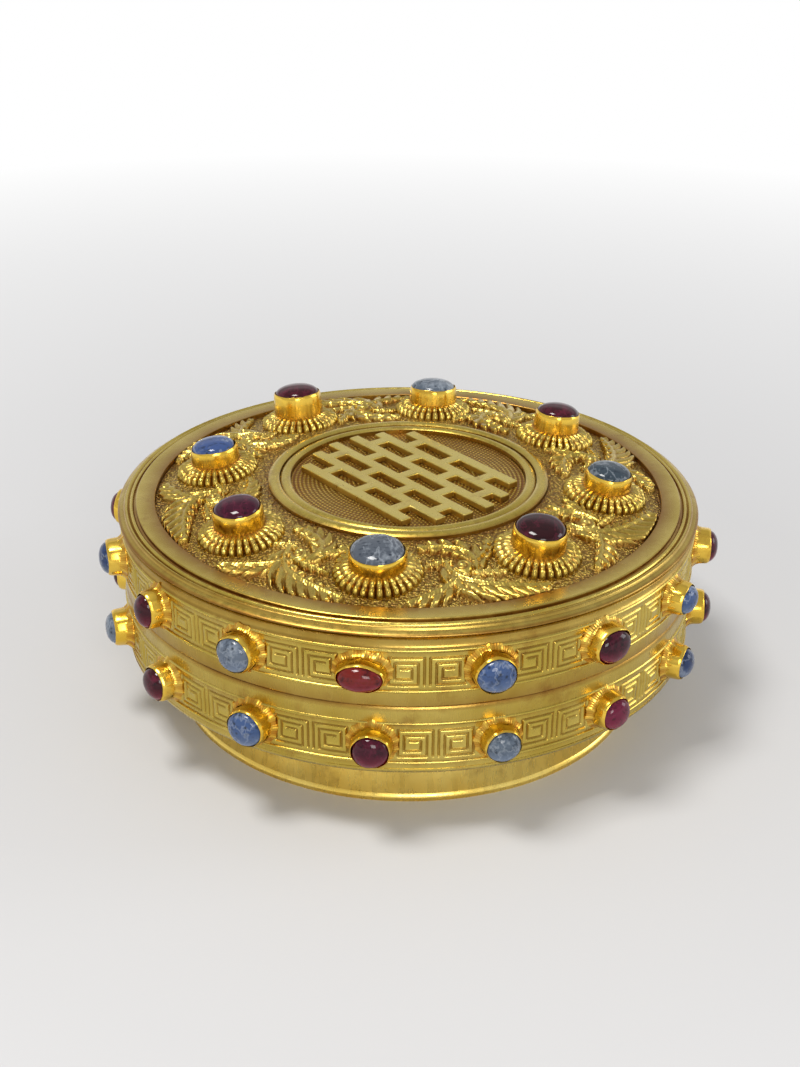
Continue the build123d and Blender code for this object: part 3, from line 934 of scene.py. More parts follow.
@dataclass
class TurnedShell:
    """The pieces that are bodies of revolution: foot, pan, walls, collar, rim, plate and liner."""

    levels: Levels
    axis_r: float = 0.4
    line_w: float = 0.55
    line_h: float = 0.22
    line_from_seam: float = 2.9
    base_line_up: float = 1.15
    lid_line_down: float = 1.75
    edge_ease: float = 0.3
    edge_in: float = 0.06
    seam_flat: float = 0.9
    panel_back: float = 0.45
    panel_gap: float = 0.02
    cove_in: float = 0.4
    cove_dip: float = 0.32
    moulding_w: float = 2.75
    ledge_w: float = 1.2
    plate_lap: float = 1.15
    floor_t: float = 1.2
    pan_in: float = 1.1
    foot_t: float = 1.6
    foot_out: float = 0.5
    foot_waist: float = 0.32
    lip_out: float = 0.4
    lip_h: float = 1.4
    collar_t: float = 0.9
    collar_lead: float = 0.3
    liner_gap: float = 0.3
    mouldings: tuple[tuple[Pair, Pair, Pair, int], ...] = (
        ((-0.1, 0.1), (0.7, 0.32), (0.22, 0.56), 8),
        ((0.22, 0.6), (0.85, 1.02), (0.02, 1.46), 10),
        ((-0.12, 1.5), (-0.5, 2.0), (-1.0, 1.62), 9),
        ((-1.06, 1.6), (-1.5, 2.12), (-1.95, 1.7), 9),
    )
    step_foot: Pair = (0.08, 1.78)
    step_edge: Pair = (0.05, 0.14)
    flat_ease: Pair = (0.12, 0.1)
    seam_shade: Pair = (1.5, 0.4)
    line_shade: Pair = (0.4, 0.45)
    cove_shade: float = 0.6

    def lines(self, body: Body) -> Pair:
        """Heights of the two thin lines that bound a wall's fret.

        Args:
            body: Base or lid.

        Returns:
            The lower and the upper height.
        """
        lv = self.levels
        if body is Body.BASE:
            return lv.seat_z + self.base_line_up, lv.seam_z - self.line_from_seam
        return lv.seam_z + self.line_from_seam, lv.lid_top_z - self.lid_line_down

    def line_bead(self, height: float) -> list[Pair]:
        """Outline of one raised line, upwards.

        Args:
            height: Height of its middle.

        Returns:
            Radius and height of each point.
        """
        r = self.levels.wall_r
        half = self.line_w / 2
        return arc_points((r, height - half), (r + self.line_h, height), (r, height + half), 6)

    def wall(self, body: Body) -> Array:
        """Outline of a wall with a shallow seat behind its fret panels.

        Args:
            body: Base or lid.

        Returns:
            Radius and height of each point, from the inner lower corner outwards.
        """
        lv = self.levels
        low, high = self.lines(body)
        r = lv.wall_r
        eased_r = r - self.edge_ease
        seat = self.line_w / 2 + self.panel_gap
        band = [(r - self.panel_back, low + seat), (r - self.panel_back, high - seat)]
        middle = self.line_bead(low) + band + self.line_bead(high)
        if body is Body.BASE:
            bottom, top = lv.seat_z, lv.seam_z
            start = [(lv.base_in_r, bottom), (r - lv.solder_gap, bottom)]
            end = [(r, top - self.seam_flat), (r - self.edge_in, top - self.edge_ease), (eased_r, top),
                   (lv.base_in_r, top)]
        else:
            bottom, top = lv.seam_z, lv.lid_top_z
            start = [(lv.lid_in_r, bottom), (eased_r, bottom), (r - self.edge_in, bottom + self.edge_ease)]
            dip = (r - self.cove_dip, (high + top) / 2)
            end = arc_points((r, high + 0.35), dip, (r - self.cove_in, top), 8) + [(lv.lid_in_r, top)]
        return np.array(start + middle + end)

    def rim(self) -> Array:
        """Outline of the rim: spigot, mouldings, step, flat ring and ledge. A moulding is an arc, its
        three points counted outwards and upwards from the top of the cove.

        Returns:
            Radius and height of each point.
        """
        lv = self.levels
        cove = lv.wall_r - self.cove_in
        spigot = lv.lid_in_r - lv.solder_gap
        flat_out = lv.wall_r - self.moulding_w
        flat_in = lv.plate_r + lv.solder_gap
        ledge = flat_in - self.ledge_w
        z = lv.lid_top_z
        top = lv.rim_top_z
        outer_ease, inner_ease = self.flat_ease
        start_r = cove + self.mouldings[0][0][0]
        points = [(ledge, lv.ledge_low_z), (spigot, lv.ledge_low_z), (spigot, z), (start_r, z)]
        for *arc, steps in self.mouldings:
            start, middle, end = ((cove + out, z + up) for out, up in arc)
            points += arc_points(start, middle, end, steps)
        points += [(flat_out + self.step_foot[0], z + self.step_foot[1]),
                   (flat_out + self.step_edge[0], top - self.step_edge[1]), (flat_out - outer_ease, top),
                   (flat_in + inner_ease, top), (flat_in, top - inner_ease), (flat_in, z), (ledge, z)]
        return np.array(points)

    def pan(self) -> Array:
        """Outline of the pan from the axis out along its underside and back over its floor. Both
        shoulders are quarter ellipses.

        Returns:
            Radius and height of each point.
        """
        lv = self.levels
        t = np.linspace(0, np.pi / 2, 16)
        floor = lv.foot_h + self.floor_t
        shoulders = []
        for outer, flat_z in ((lv.wall_r, lv.foot_h), (lv.base_in_r - self.pan_in, floor)):
            radius = lv.foot_r + (outer - lv.foot_r) * np.sin(t)
            shoulders.append(np.stack([radius, lv.seat_z - (lv.seat_z - flat_z) * np.cos(t)], 1))
        under, over = shoulders
        axis = np.array([[self.axis_r, lv.foot_h], [lv.foot_r * 0.5, lv.foot_h]])
        back = np.array([[lv.foot_r * 0.5, floor], [self.axis_r, floor]])
        return np.concatenate([axis, under, over[::-1], back])

    def foot(self) -> Array:
        """Outline of the foot ring with its flare and lip.

        Returns:
            Radius and height of each point.
        """
        lv = self.levels
        inner = lv.foot_r - self.foot_t
        body = lv.foot_r + self.foot_out
        lip = arc_points((body + 0.2, 0.0), (body + self.lip_out, self.lip_h / 2), (body, self.lip_h), 8)
        waist = (body - self.foot_waist, lv.foot_h * 0.5)
        flare = arc_points((body, self.lip_h + 0.05), waist, (lv.foot_r, lv.foot_h), 10)
        return np.array([(inner, 0.0)] + lip + flare + [(inner, lv.foot_h)])

    def plate(self) -> Array:
        """Outline of the domed plate from the axis out along its underside and back over the dome.

        Returns:
            Radius and height of each point.
        """
        lv = self.levels
        under = lv.recess_z - lv.plate_t
        seat = lv.frame_r + lv.solder_gap
        dome_r = np.linspace(lv.plate_r, seat, 60)
        dome = np.stack([dome_r, lv.dome_z(dome_r)], 1)
        low = [(self.axis_r, under), (seat, under), (lv.plate_r - self.plate_lap, lv.lid_top_z),
               (lv.plate_r, lv.lid_top_z)]
        return np.concatenate([np.array(low), dome, [(seat, lv.recess_z), (self.axis_r, lv.recess_z)]])

    def wall_shade_and_tone(self, outline: Array, body: Body) -> Array:
        """Painted shade and toning on a wall's points: most at the seam, some beside the thin lines, and
        painted shade in the cove of the lid, which faces down under the rim. Each shade falls off with the
        distance over its reach.

        Args:
            outline: Radius and height of each point.
            body: Base or lid.

        Returns:
            A value from 0 to 1 for each point.
        """
        lv = self.levels
        radius, height = outline.T
        lines = self.lines(body)
        outside = radius > lv.wall_r - 0.5
        seam_dark, seam_reach = self.seam_shade
        line_dark, line_reach = self.line_shade
        seam = seam_dark * np.exp(-np.abs(height - lv.seam_z) / seam_reach) * outside
        beside = sum(np.exp(-((height - z) / line_reach) ** 2) for z in lines) * (radius < lv.wall_r + 0.05)
        # painted shade: the whole cove of the lid is darkened, as it faces down under the rim
        cove = self.cove_shade * ((height > lines[1] + 0.34) & (height > lv.seam_z) & outside)
        return np.clip(seam + line_dark * beside + cove, 0, 1)

    def build_stand(self, finishes: Finishes) -> None:
        """Build the foot and the pan.

        Args:
            finishes: Shared materials.
        """
        lv = self.levels
        foot = self.foot()
        # painted shade on the top of the foot, under the pan's overhang
        shaded = 0.35 * (foot[:, 1] > lv.foot_h - 1.5)
        dress(build_mesh("foot", [lathe(foot, seed=1.0, cavity=shaded)]), finishes.get(FOOT_GILT),
              Body.BASE, Slot.CHASED, "foot_ring")
        dress(build_mesh("pan", [capped_lathe(self.pan())]), finishes.get(SMOOTH_GILT), Body.BASE,
              Slot.PLAIN, "base_pan")

    def build_walls(self, finishes: Finishes) -> None:
        """Build the two drum walls.

        Args:
            finishes: Shared materials.
        """
        smooth = finishes.get(SMOOTH_GILT)
        for body, node, seed in ((Body.BASE, "base_wall", 2.0), (Body.LID, "lid_wall", 3.3)):
            outline = self.wall(body)
            wall = lathe(outline, 512, 0.025, seed, self.wall_shade_and_tone(outline, body))
            dress(build_mesh(f"{node}_drum", [wall]), smooth, body, Slot.CHASED, node)

    def build_collar(self, finishes: Finishes) -> None:
        """Build the collar that the lid slides over, with a lead on its outer upper edge.

        Args:
            finishes: Shared materials.
        """
        lv = self.levels
        outer = lv.base_in_r - lv.solder_gap
        inner = outer - self.collar_t
        lead = self.collar_lead
        corners = [(inner, lv.seat_z), (outer, lv.seat_z), (outer, lv.collar_top_z - lead),
                   (outer - lead, lv.collar_top_z), (inner, lv.collar_top_z)]
        collar = build_mesh("collar", [lathe(rounded(corners, 0.12), wobble=0.0)])
        dress(collar, finishes.get(SMOOTH_GILT), Body.BASE, Slot.PLAIN, "base_collar")

    def build_lid(self, finishes: Finishes) -> None:
        """Build the rim, the liner and the domed ground.

        Args:
            finishes: Shared materials.
        """
        lv = self.levels
        smooth = finishes.get(SMOOTH_GILT)
        outline = self.rim()
        radius, height = outline.T
        # painted shade and toning in the rim's hollows and along the foot of its step
        step = np.exp(-((radius - (lv.wall_r - 2.6)) / 0.3) ** 2) * (height < lv.rim_top_z - 0.1)
        rim = lathe(outline, 512, 0.02, 4.0, np.maximum(recess_of(outline, 0.3), step))
        dress(build_mesh("rim", [rim]), smooth, Body.LID, Slot.CHASED, "lid_rim")
        outer = lv.lid_in_r - self.liner_gap
        liner = np.array([(self.axis_r, lv.liner_low_z), (outer, lv.liner_low_z), (outer, lv.ledge_low_z),
                          (self.axis_r, lv.ledge_low_z)])
        dress(build_mesh("liner", [capped_lathe(liner, 256)]), smooth, Body.LINER, Slot.PLAIN, "lid_liner")
        plate = self.plate()
        radius = plate[:, 0]
        # painted shade and toning beside the rim and round the frame
        edge = np.exp(-(lv.plate_r - radius) / 0.5) + np.exp(-np.abs(radius - lv.frame_r) / 0.6)
        dress(build_mesh("ground", [capped_lathe(plate, 512, np.clip(edge, 0, 1))]),
              finishes.get(GROUND_GILT), Body.LID, Slot.CHASED, "lid_plate")

    def build(self, finishes: Finishes) -> None:
        """Build and dress every turned piece.

        Args:
            finishes: Shared materials.
        """
        self.build_stand(finishes)
        self.build_walls(finishes)
        self.build_collar(finishes)
        self.build_lid(finishes)


def segment_distance(x: Array, y: Array, path: Array) -> tuple[Array, Array, Array]:
    """Distance from points to a path of straight segments.

    Args:
        x: First coordinate of the points.
        y: Second coordinate of the points.
        path: Corners of the path, one row each.

    Returns:
        The unsigned distance, the share of the path's length reached, and the side, +1 on the left.
    """
    lengths = np.linalg.norm(np.diff(path, axis=0), axis=1)
    total = lengths.sum()
    best = np.full(x.shape, np.inf)
    share = np.zeros(x.shape)
    side = np.ones(x.shape)
    done = 0.0
    for start, end, length in zip(path[:-1], path[1:], lengths):
        ux, uy = (end - start) / length
        t = np.clip((x - start[0]) * ux + (y - start[1]) * uy, 0, length)
        dx = x - start[0] - t * ux
        dy = y - start[1] - t * uy
        distance = np.hypot(dx, dy)
        near = distance < best
        best = np.where(near, distance, best)
        share = np.where(near, (done + t) / total, share)
        side = np.where(near, np.sign(ux * dy - uy * dx + 1e-9), side)
        done += length
    return best, share, side


def aligned(lines: Array, low: float, high: float, step: float) -> Array:
    """Grid positions that crowd round each line of the chasing and stay wide between them.

    Args:
        lines: Middles of the chased lines.
        low: First position.
        high: Last position.
        step: Widest step between positions.

    Returns:
        Sorted positions.
    """
    beside = np.array([0.05, 0.12, 0.2, 0.32])
    least = 0.03
    crowd = (lines[:, None] + np.concatenate([-beside, beside])).ravel()
    plain = np.linspace(low, high, max(2, int((high - low) / step)))
    at = np.sort(np.concatenate([plain, crowd[(crowd > low + least) & (crowd < high - least)]]))
    return at[np.concatenate([[True], np.diff(at) > least])]


@dataclass(frozen=True)
class WallPlan:
    """What differs between the two walls: the angle of the first setting, the width and height of
    the stones in view, and which tints the stones take in turn."""

    body: Body
    prefix: str
    first: float
    sizes: tuple[Pair, ...]
    red: tuple[int, ...]
    blue: tuple[int, ...]


BASE_PLAN = WallPlan(Body.BASE, "base", -51.2,
                     ((5.6, 5.4), (6.0, 5.8), (5.6, 5.4), (5.4, 5.1), (5.4, 5.2), (5.2, 5.0)),
                     (0, 4, 3, 2), (1, 3, 2, 0))
LID_PLAN = WallPlan(Body.LID, "lid", -52.9,
                    ((4.7, 5.7), (5.8, 5.7), (6.8, 4.2), (6.1, 5.6), (6.6, 5.4), (5.4, 4.6)),
                    (0, 1, 2, 4), (0, 1, 1, 2))


@dataclass
class FretBand:
    """Key fret chased into one wall: a pair of square spirals between each two settings."""

    levels: Levels
    plan: WallPlan
    low: float
    high: float
    pairs: int = 16
    sectors: int = 4
    key_w: float = 5.5
    key_h: float = 4.7
    key_at: float = 3.2
    spacing: float = 0.95
    groove_w: float = 0.17
    groove_d: float = 0.2
    lip_h: float = 0.08
    panel_t: float = 0.4
    face_in: float = 0.005
    column_step: float = 0.9
    row_step: float = 0.7

    def spiral(self) -> Array:
        """Corners of one square spiral, from its outer lower corner inwards.

        Returns:
            Places along the wall and above its middle, one row each.
        """
        a, b, s = self.key_w / 2, self.key_h / 2, self.spacing
        corners = [(-a, -b), (-a, b), (a, b), (a, -b), (-a + s, -b), (-a + s, b - s), (a - s, b - s),
                   (a - s, -b + s), (-a + 2 * s, -b + s), (-a + 2 * s, b - 2 * s), (a - 2 * s, b - 2 * s)]
        return np.array(corners) + (self.key_at, 0.0)

    def grooves(self, along: Array, up: Array) -> tuple[Array, Array]:
        """Depth of the chasing at a point and how recessed it is. A groove is a rounded channel
        beside whose lips the metal is pushed up a little.

        Args:
            along: Place along the wall from the middle between two settings.
            up: Height above the middle of the band.

        Returns:
            Relief in millimetres and a recess from 0 to 1.
        """
        distance = segment_distance(np.abs(along), up, self.spiral())[0]
        channel = np.exp(-(distance / self.groove_w) ** 2)
        lip = np.exp(-((distance - 0.3) / 0.13) ** 2)
        # the recess value gives painted shade and toning in the grooves
        return self.lip_h * lip - self.groove_d * channel, 0.7 * channel

    def panel(self, sector: int) -> Patch:
        """One sector of the band as a closed slab. Its face is the wall with the chasing and two
        slow sine waves as the unevenness of the hand, and its back is plain.

        Args:
            sector: Number of the sector, from 0.

        Returns:
            A capped patch.
        """
        wall = self.levels.wall_r
        middle = (self.low + self.high) / 2
        path = self.spiral()
        half_pitch = np.pi * wall / self.pairs
        upright = np.unique(np.round(np.concatenate([path[:, 0], -path[:, 0]]), 4))
        along = aligned(upright, -half_pitch, half_pitch, self.column_step)[:-1]
        level = np.unique(np.round(path[:, 1], 4))
        height = middle + aligned(level, self.low - middle, self.high - middle, self.row_step)
        per_sector = self.pairs // self.sectors
        pitch_deg = FULL_TURN_DEG / self.pairs
        cells = sector * per_sector + np.arange(per_sector)
        degrees = self.plan.first + (cells[:, None] + 0.5) * pitch_deg + np.degrees(along / wall)
        end = self.plan.first + (cells[-1] + 1) * pitch_deg
        turn = np.radians(np.append(degrees.ravel(), end))[None, :]
        across, up = np.meshgrid(np.append(np.tile(along, per_sector), half_pitch), height - middle)
        depth, hollow = self.grooves(across, up)
        edge = np.minimum(up - up.min(), up.max() - up)
        hand = 0.03 * np.sin(9 * turn + 2 * up) + 0.02 * np.sin(31 * turn - up)
        face = wall - self.face_in + depth * np.clip(edge / 0.15, 0, 1) + hand
        back = np.full((2, across.shape[1]), wall - self.panel_t)
        radius = np.concatenate([face, back])
        back_z = np.broadcast_to([[self.high], [self.low]], back.shape)
        levels = np.concatenate([np.broadcast_to(height[:, None], across.shape), back_z])
        # painted shade and toning in the grooves and along the upper and lower edges of the panel
        shaded = np.clip(hollow + 0.5 * np.exp(-edge / 0.2), 0, 1)
        cavity = np.concatenate([shaded, np.zeros(back.shape)])
        points = np.stack([radius * np.sin(turn), -radius * np.cos(turn), levels], axis=-1)
        return Patch(np.swapaxes(points, 0, 1), caps=True, cavity=cavity.T)

    def build(self, finishes: Finishes) -> None:
        """Build the panels of the band, each a closed slab.

        Args:
            finishes: Shared materials.
        """
        node = f"{self.plan.prefix}_wall"
        for sector in range(self.sectors):
            panel = build_mesh(f"{node}_fret_{sector + 1}", [self.panel(sector)])
            dress(panel, finishes.get(CHASED_GILT), self.plan.body, Slot.CHASED, node)


def oval_ring(half_w: float, half_h: float, profile: Array, wobble: float, seed: float,
              columns: int) -> Patch:
    """Profile carried round an oval: each point lies an offset outside the oval at a height, and
    the oval's own radius wavers by three sine waves so that the bezel looks hand made.

    Args:
        half_w: Half of the oval's width.
        half_h: Half of the oval's height.
        profile: Offset, height and recess of each point.
        wobble: Size of the waver in millimetres.
        seed: Phase of the waver.
        columns: Steps round the oval.

    Returns:
        A patch closed both ways.
    """
    offsets, heights, cavity = profile.T
    turn = np.linspace(0, TAU, columns, endpoint=False)
    slow = np.sin(2 * turn + seed)
    waver = wobble * (slow + 0.7 * np.sin(5 * turn + 3 * seed) + 0.5 * np.sin(11 * turn + seed))
    lift = 1.2 * wobble * np.sin(3 * turn + 2 * seed)
    x = (half_w + offsets[:, None] + waver) * np.cos(turn)
    y = (half_h + offsets[:, None] + waver) * np.sin(turn)
    top = (heights - heights.min()) / np.ptp(heights)
    z = heights[:, None] + lift * top[:, None]
    depth = np.broadcast_to(cavity[:, None], x.shape)
    return Patch(np.stack([x, y, z], axis=-1), wrap_rows=True, cavity=depth)


def bezel(half_w: float, half_h: float, foot: float, rim: float, wall: float, flare: float,
          seed: float, columns: int = 64) -> Patch:
    """Box setting as a closed band: a slightly flared outside, a thin burnished lip that leans in
    over the stone, and an inside that runs down to the stone's seat.

    Args:
        half_w: Half of the stone's width.
        half_h: Half of the stone's height.
        foot: Level of its foot.
        rim: Level of its lip.
        wall: Thickness of its wall.
        flare: How far its foot stands out of the wall.
        seed: Phase of its unevenness.
        columns: Steps round it.

    Returns:
        A patch closed both ways.
    """
    h = rim - foot
    # the third column gives painted shade and toning, darkest at the foot and down the inside
    profile = np.array([
        (wall + flare, foot, 1.0),
        (wall + 0.6 * flare, foot + 0.25 * h, 0.35),
        (wall + 0.2 * flare, foot + 0.55 * h, 0.05),
        (wall - 0.03, rim - 0.55, 0.0),
        (wall - 0.1, rim - 0.3, 0.0),
        (wall * 0.55, rim - 0.12, 0.0),
        (wall * 0.42, rim - 0.02, 0.0),
        (0.16, rim, 0.2),
        (0.08, rim - 0.15, 0.6),
        (0.06, rim - 0.8, 1.0),
        (0.0, foot, 1.0),
    ])
    return oval_ring(half_w, half_h, profile, 0.05, seed, columns)


def cabochon(half_w: float, half_h: float, low: float, girdle: float, rise: float, colour: Colour,
             seed: float, columns: int = 56) -> Patch:
    """Domed stone: a straight girdle, then height = rise times the cosine of an angle and radius
    its sine raised to a power just under one, so that the shoulder is fuller than an ellipse.

    Args:
        half_w: Half of its width.
        half_h: Half of its height.
        low: Level of its underside.
        girdle: Height of its straight part.
        rise: Height of its dome.
        colour: Its tint.
        seed: Phase of its unevenness.
        columns: Steps round it.

    Returns:
        A capped patch.
    """
    overlap = 0.06
    t = np.linspace(0.03, 1, 15)[::-1] * np.pi / 2
    radius = np.concatenate([[0.2, 1.0], np.sin(t) ** 0.9])[:, None]
    height = np.concatenate([[low, low], low + girdle + rise * np.cos(t)])
    turn = np.linspace(0, TAU, columns, endpoint=False)
    uneven = 1 + 0.012 * np.sin(3 * turn + seed) + 0.01 * np.sin(2 * turn + 4 * seed)
    x = (half_w + overlap) * radius * np.cos(turn) * uneven
    y = (half_h + overlap) * radius * np.sin(turn) * uneven
    z = np.broadcast_to(height[:, None], x.shape)
    return Patch(np.stack([x, y, z], axis=-1), caps=True, colour=colour)


def radial_lines(turn: Array, parts: int) -> Array:
    """Coordinate for fine lines round a ring: up and down once for each of its equal parts."""
    return np.abs((turn * parts / TAU) % 1.0 - 0.5)


def leafy_cup(half_w: float, half_h: float, foot: float, wall_z: float, seed: float,
              columns: int = 196) -> Patch:
    """Leafy cup at the foot of a side setting, flared like a trumpet: its spread falls off as a power
    of the height. Fourteen pointed leaves part it, and their ridges fade out towards the collet.

    Args:
        half_w: Half of the stone's width.
        half_h: Half of the stone's height.
        foot: Level of its foot, inside the wall.
        wall_z: Level of the wall.
        seed: Phase of its unevenness.
        columns: Steps round it.

    Returns:
        A patch closed both ways.
    """
    leaves, leaf_power = 14, 0.8
    collar_r, flare, flare_power = 0.53, 0.85, 2.2
    low, rise, tip_rise = 0.1, 1.15, 0.1
    leaf_foot, leaf_top = 0.24, 0.03
    turn = np.linspace(0, TAU, columns, endpoint=False)
    ridge = 1.0 - np.abs(np.sin(leaves * turn / 2 + seed)) ** leaf_power
    uneven = 1 + 0.25 * np.sin(3 * turn + 2 * seed) + 0.2 * np.sin(5 * turn + seed)
    t = np.array([0.0, 0.0, 0.1, 0.22, 0.36, 0.52, 0.7, 0.86, 1.0])[:, None]
    out = collar_r + flare * (1 - t) ** flare_power
    up = wall_z + (low + rise * t) * np.ones_like(turn) + tip_rise * ridge * uneven * t
    up[0] = foot
    spread = out + (ridge - 0.5) * uneven * (leaf_foot * (1 - t) + leaf_top)
    x = (half_w + spread) * np.cos(turn)
    y = (half_h + spread) * np.sin(turn)
    # painted shade and toning in the creases between the leaves and inside the cup
    crease = (1.0 - ridge) * (1 - 0.5 * t)
    inside = 0.3
    x = np.vstack([x, (half_w + inside) * np.cos(turn)])
    y = np.vstack([y, (half_h + inside) * np.sin(turn)])
    up = np.vstack([up, np.full(columns, foot)])
    points = np.stack([x, y, up], axis=-1)
    cavity = np.concatenate([np.clip(crease, 0, 1), np.ones((1, columns))])
    lines = np.broadcast_to(radial_lines(turn, leaves), cavity.shape)
    return Patch(points, wrap_rows=True, cavity=cavity, stroke=lines)


RED_TINTS: tuple[Colour, ...] = (
    (0.030, 0.0015, 0.005),
    (0.13, 0.010, 0.007),
    (0.022, 0.001, 0.005),
    (0.12, 0.008, 0.030),
    (0.045, 0.002, 0.010),
)
BLUE_TINTS: tuple[Colour, ...] = (
    (0.10, 0.125, 0.165),
    (0.04, 0.075, 0.18),
    (0.018, 0.035, 0.10),
    (0.085, 0.11, 0.145),
)


@dataclass
class SideSettings:
    """The sixteen settings round one wall."""

    levels: Levels
    plan: WallPlan
    height: float
    count: int = 16
    back_size: Pair = (6.0, 5.4)
    reach: float = 3.0
    sunk: float = 0.5
    bezel_t: float = 0.45
    bezel_flare: float = 0.25
    stone_low: float = 1.6
    stone_girdle: float = 0.95
    stone_rise: float = 1.8

    def place(self, index: int) -> Matrix:
        """Frame at the axis whose Z points out of the wall through one setting.

        Args:
            index: Number of the setting.

        Returns:
            Matrix in millimetres.
        """
        a = np.radians(self.plan.first + index * FULL_TURN_DEG / self.count)
        columns = ((np.cos(a), np.sin(a), 0.0), (0.0, 0.0, 1.0), (np.sin(a), -np.cos(a), 0.0))
        matrix = Matrix(columns).transposed().to_4x4()
        matrix.translation = (0.0, 0.0, self.height)
        return matrix

    def tint(self, index: int) -> Colour:
        """Colour of one stone: red and blue in turn, each from its own list."""
        tints, picks = (RED_TINTS, self.plan.red) if index % 2 == 0 else (BLUE_TINTS, self.plan.blue)
        return tints[picks[(index // 2) % len(picks)]]

    def build(self, finishes: Finishes) -> None:
        """Build collets, cups and stones, each kind as one piece.

        Args:
            finishes: Shared materials.
        """
        wall = self.levels.wall_r
        foot, rim = wall - self.sunk, wall + self.reach
        collets, cups, stones = [], [], []
        for k in range(self.count):
            width, height = self.plan.sizes[k] if k < len(self.plan.sizes) else self.back_size
            w, h = width / 2, height / 2
            place = self.place(k)
            seed = 1.7 * k + self.height
            collet = bezel(w, h, foot, rim, self.bezel_t, self.bezel_flare, seed)
            stone = cabochon(w, h, wall + self.stone_low, self.stone_girdle, self.stone_rise,
                             self.tint(k), seed)
            collets.append(collet.moved(place))
            cups.append(leafy_cup(w, h, foot - 0.1, wall - 0.1, seed).moved(place))
            stones.append(stone.moved(place))
        for kind, patches, finish, slot, node in (
            ("bezels", collets, BRIGHT_GILT, Slot.BRIGHT, "collets"),
            ("cups", cups, CUP_GILT, Slot.BRIGHT, "calyxes"),
            ("rubies", stones[0::2], RED_STONE, Slot.RED, "red_stones"),
            ("sapphires", stones[1::2], BLUE_STONE, Slot.BLUE, "blue_stones"),
        ):
            piece = build_mesh(f"{self.plan.prefix}_{kind}", patches)
            dress(piece, finishes.get(finish), self.plan.body, slot, f"{self.plan.prefix}_{node}")


@dataclass(frozen=True)
class TopStone:
    """A stone of the dome: its width, how high its collet stands over the boss, and its tint."""

    width: float
    rise: float
    tint: Colour


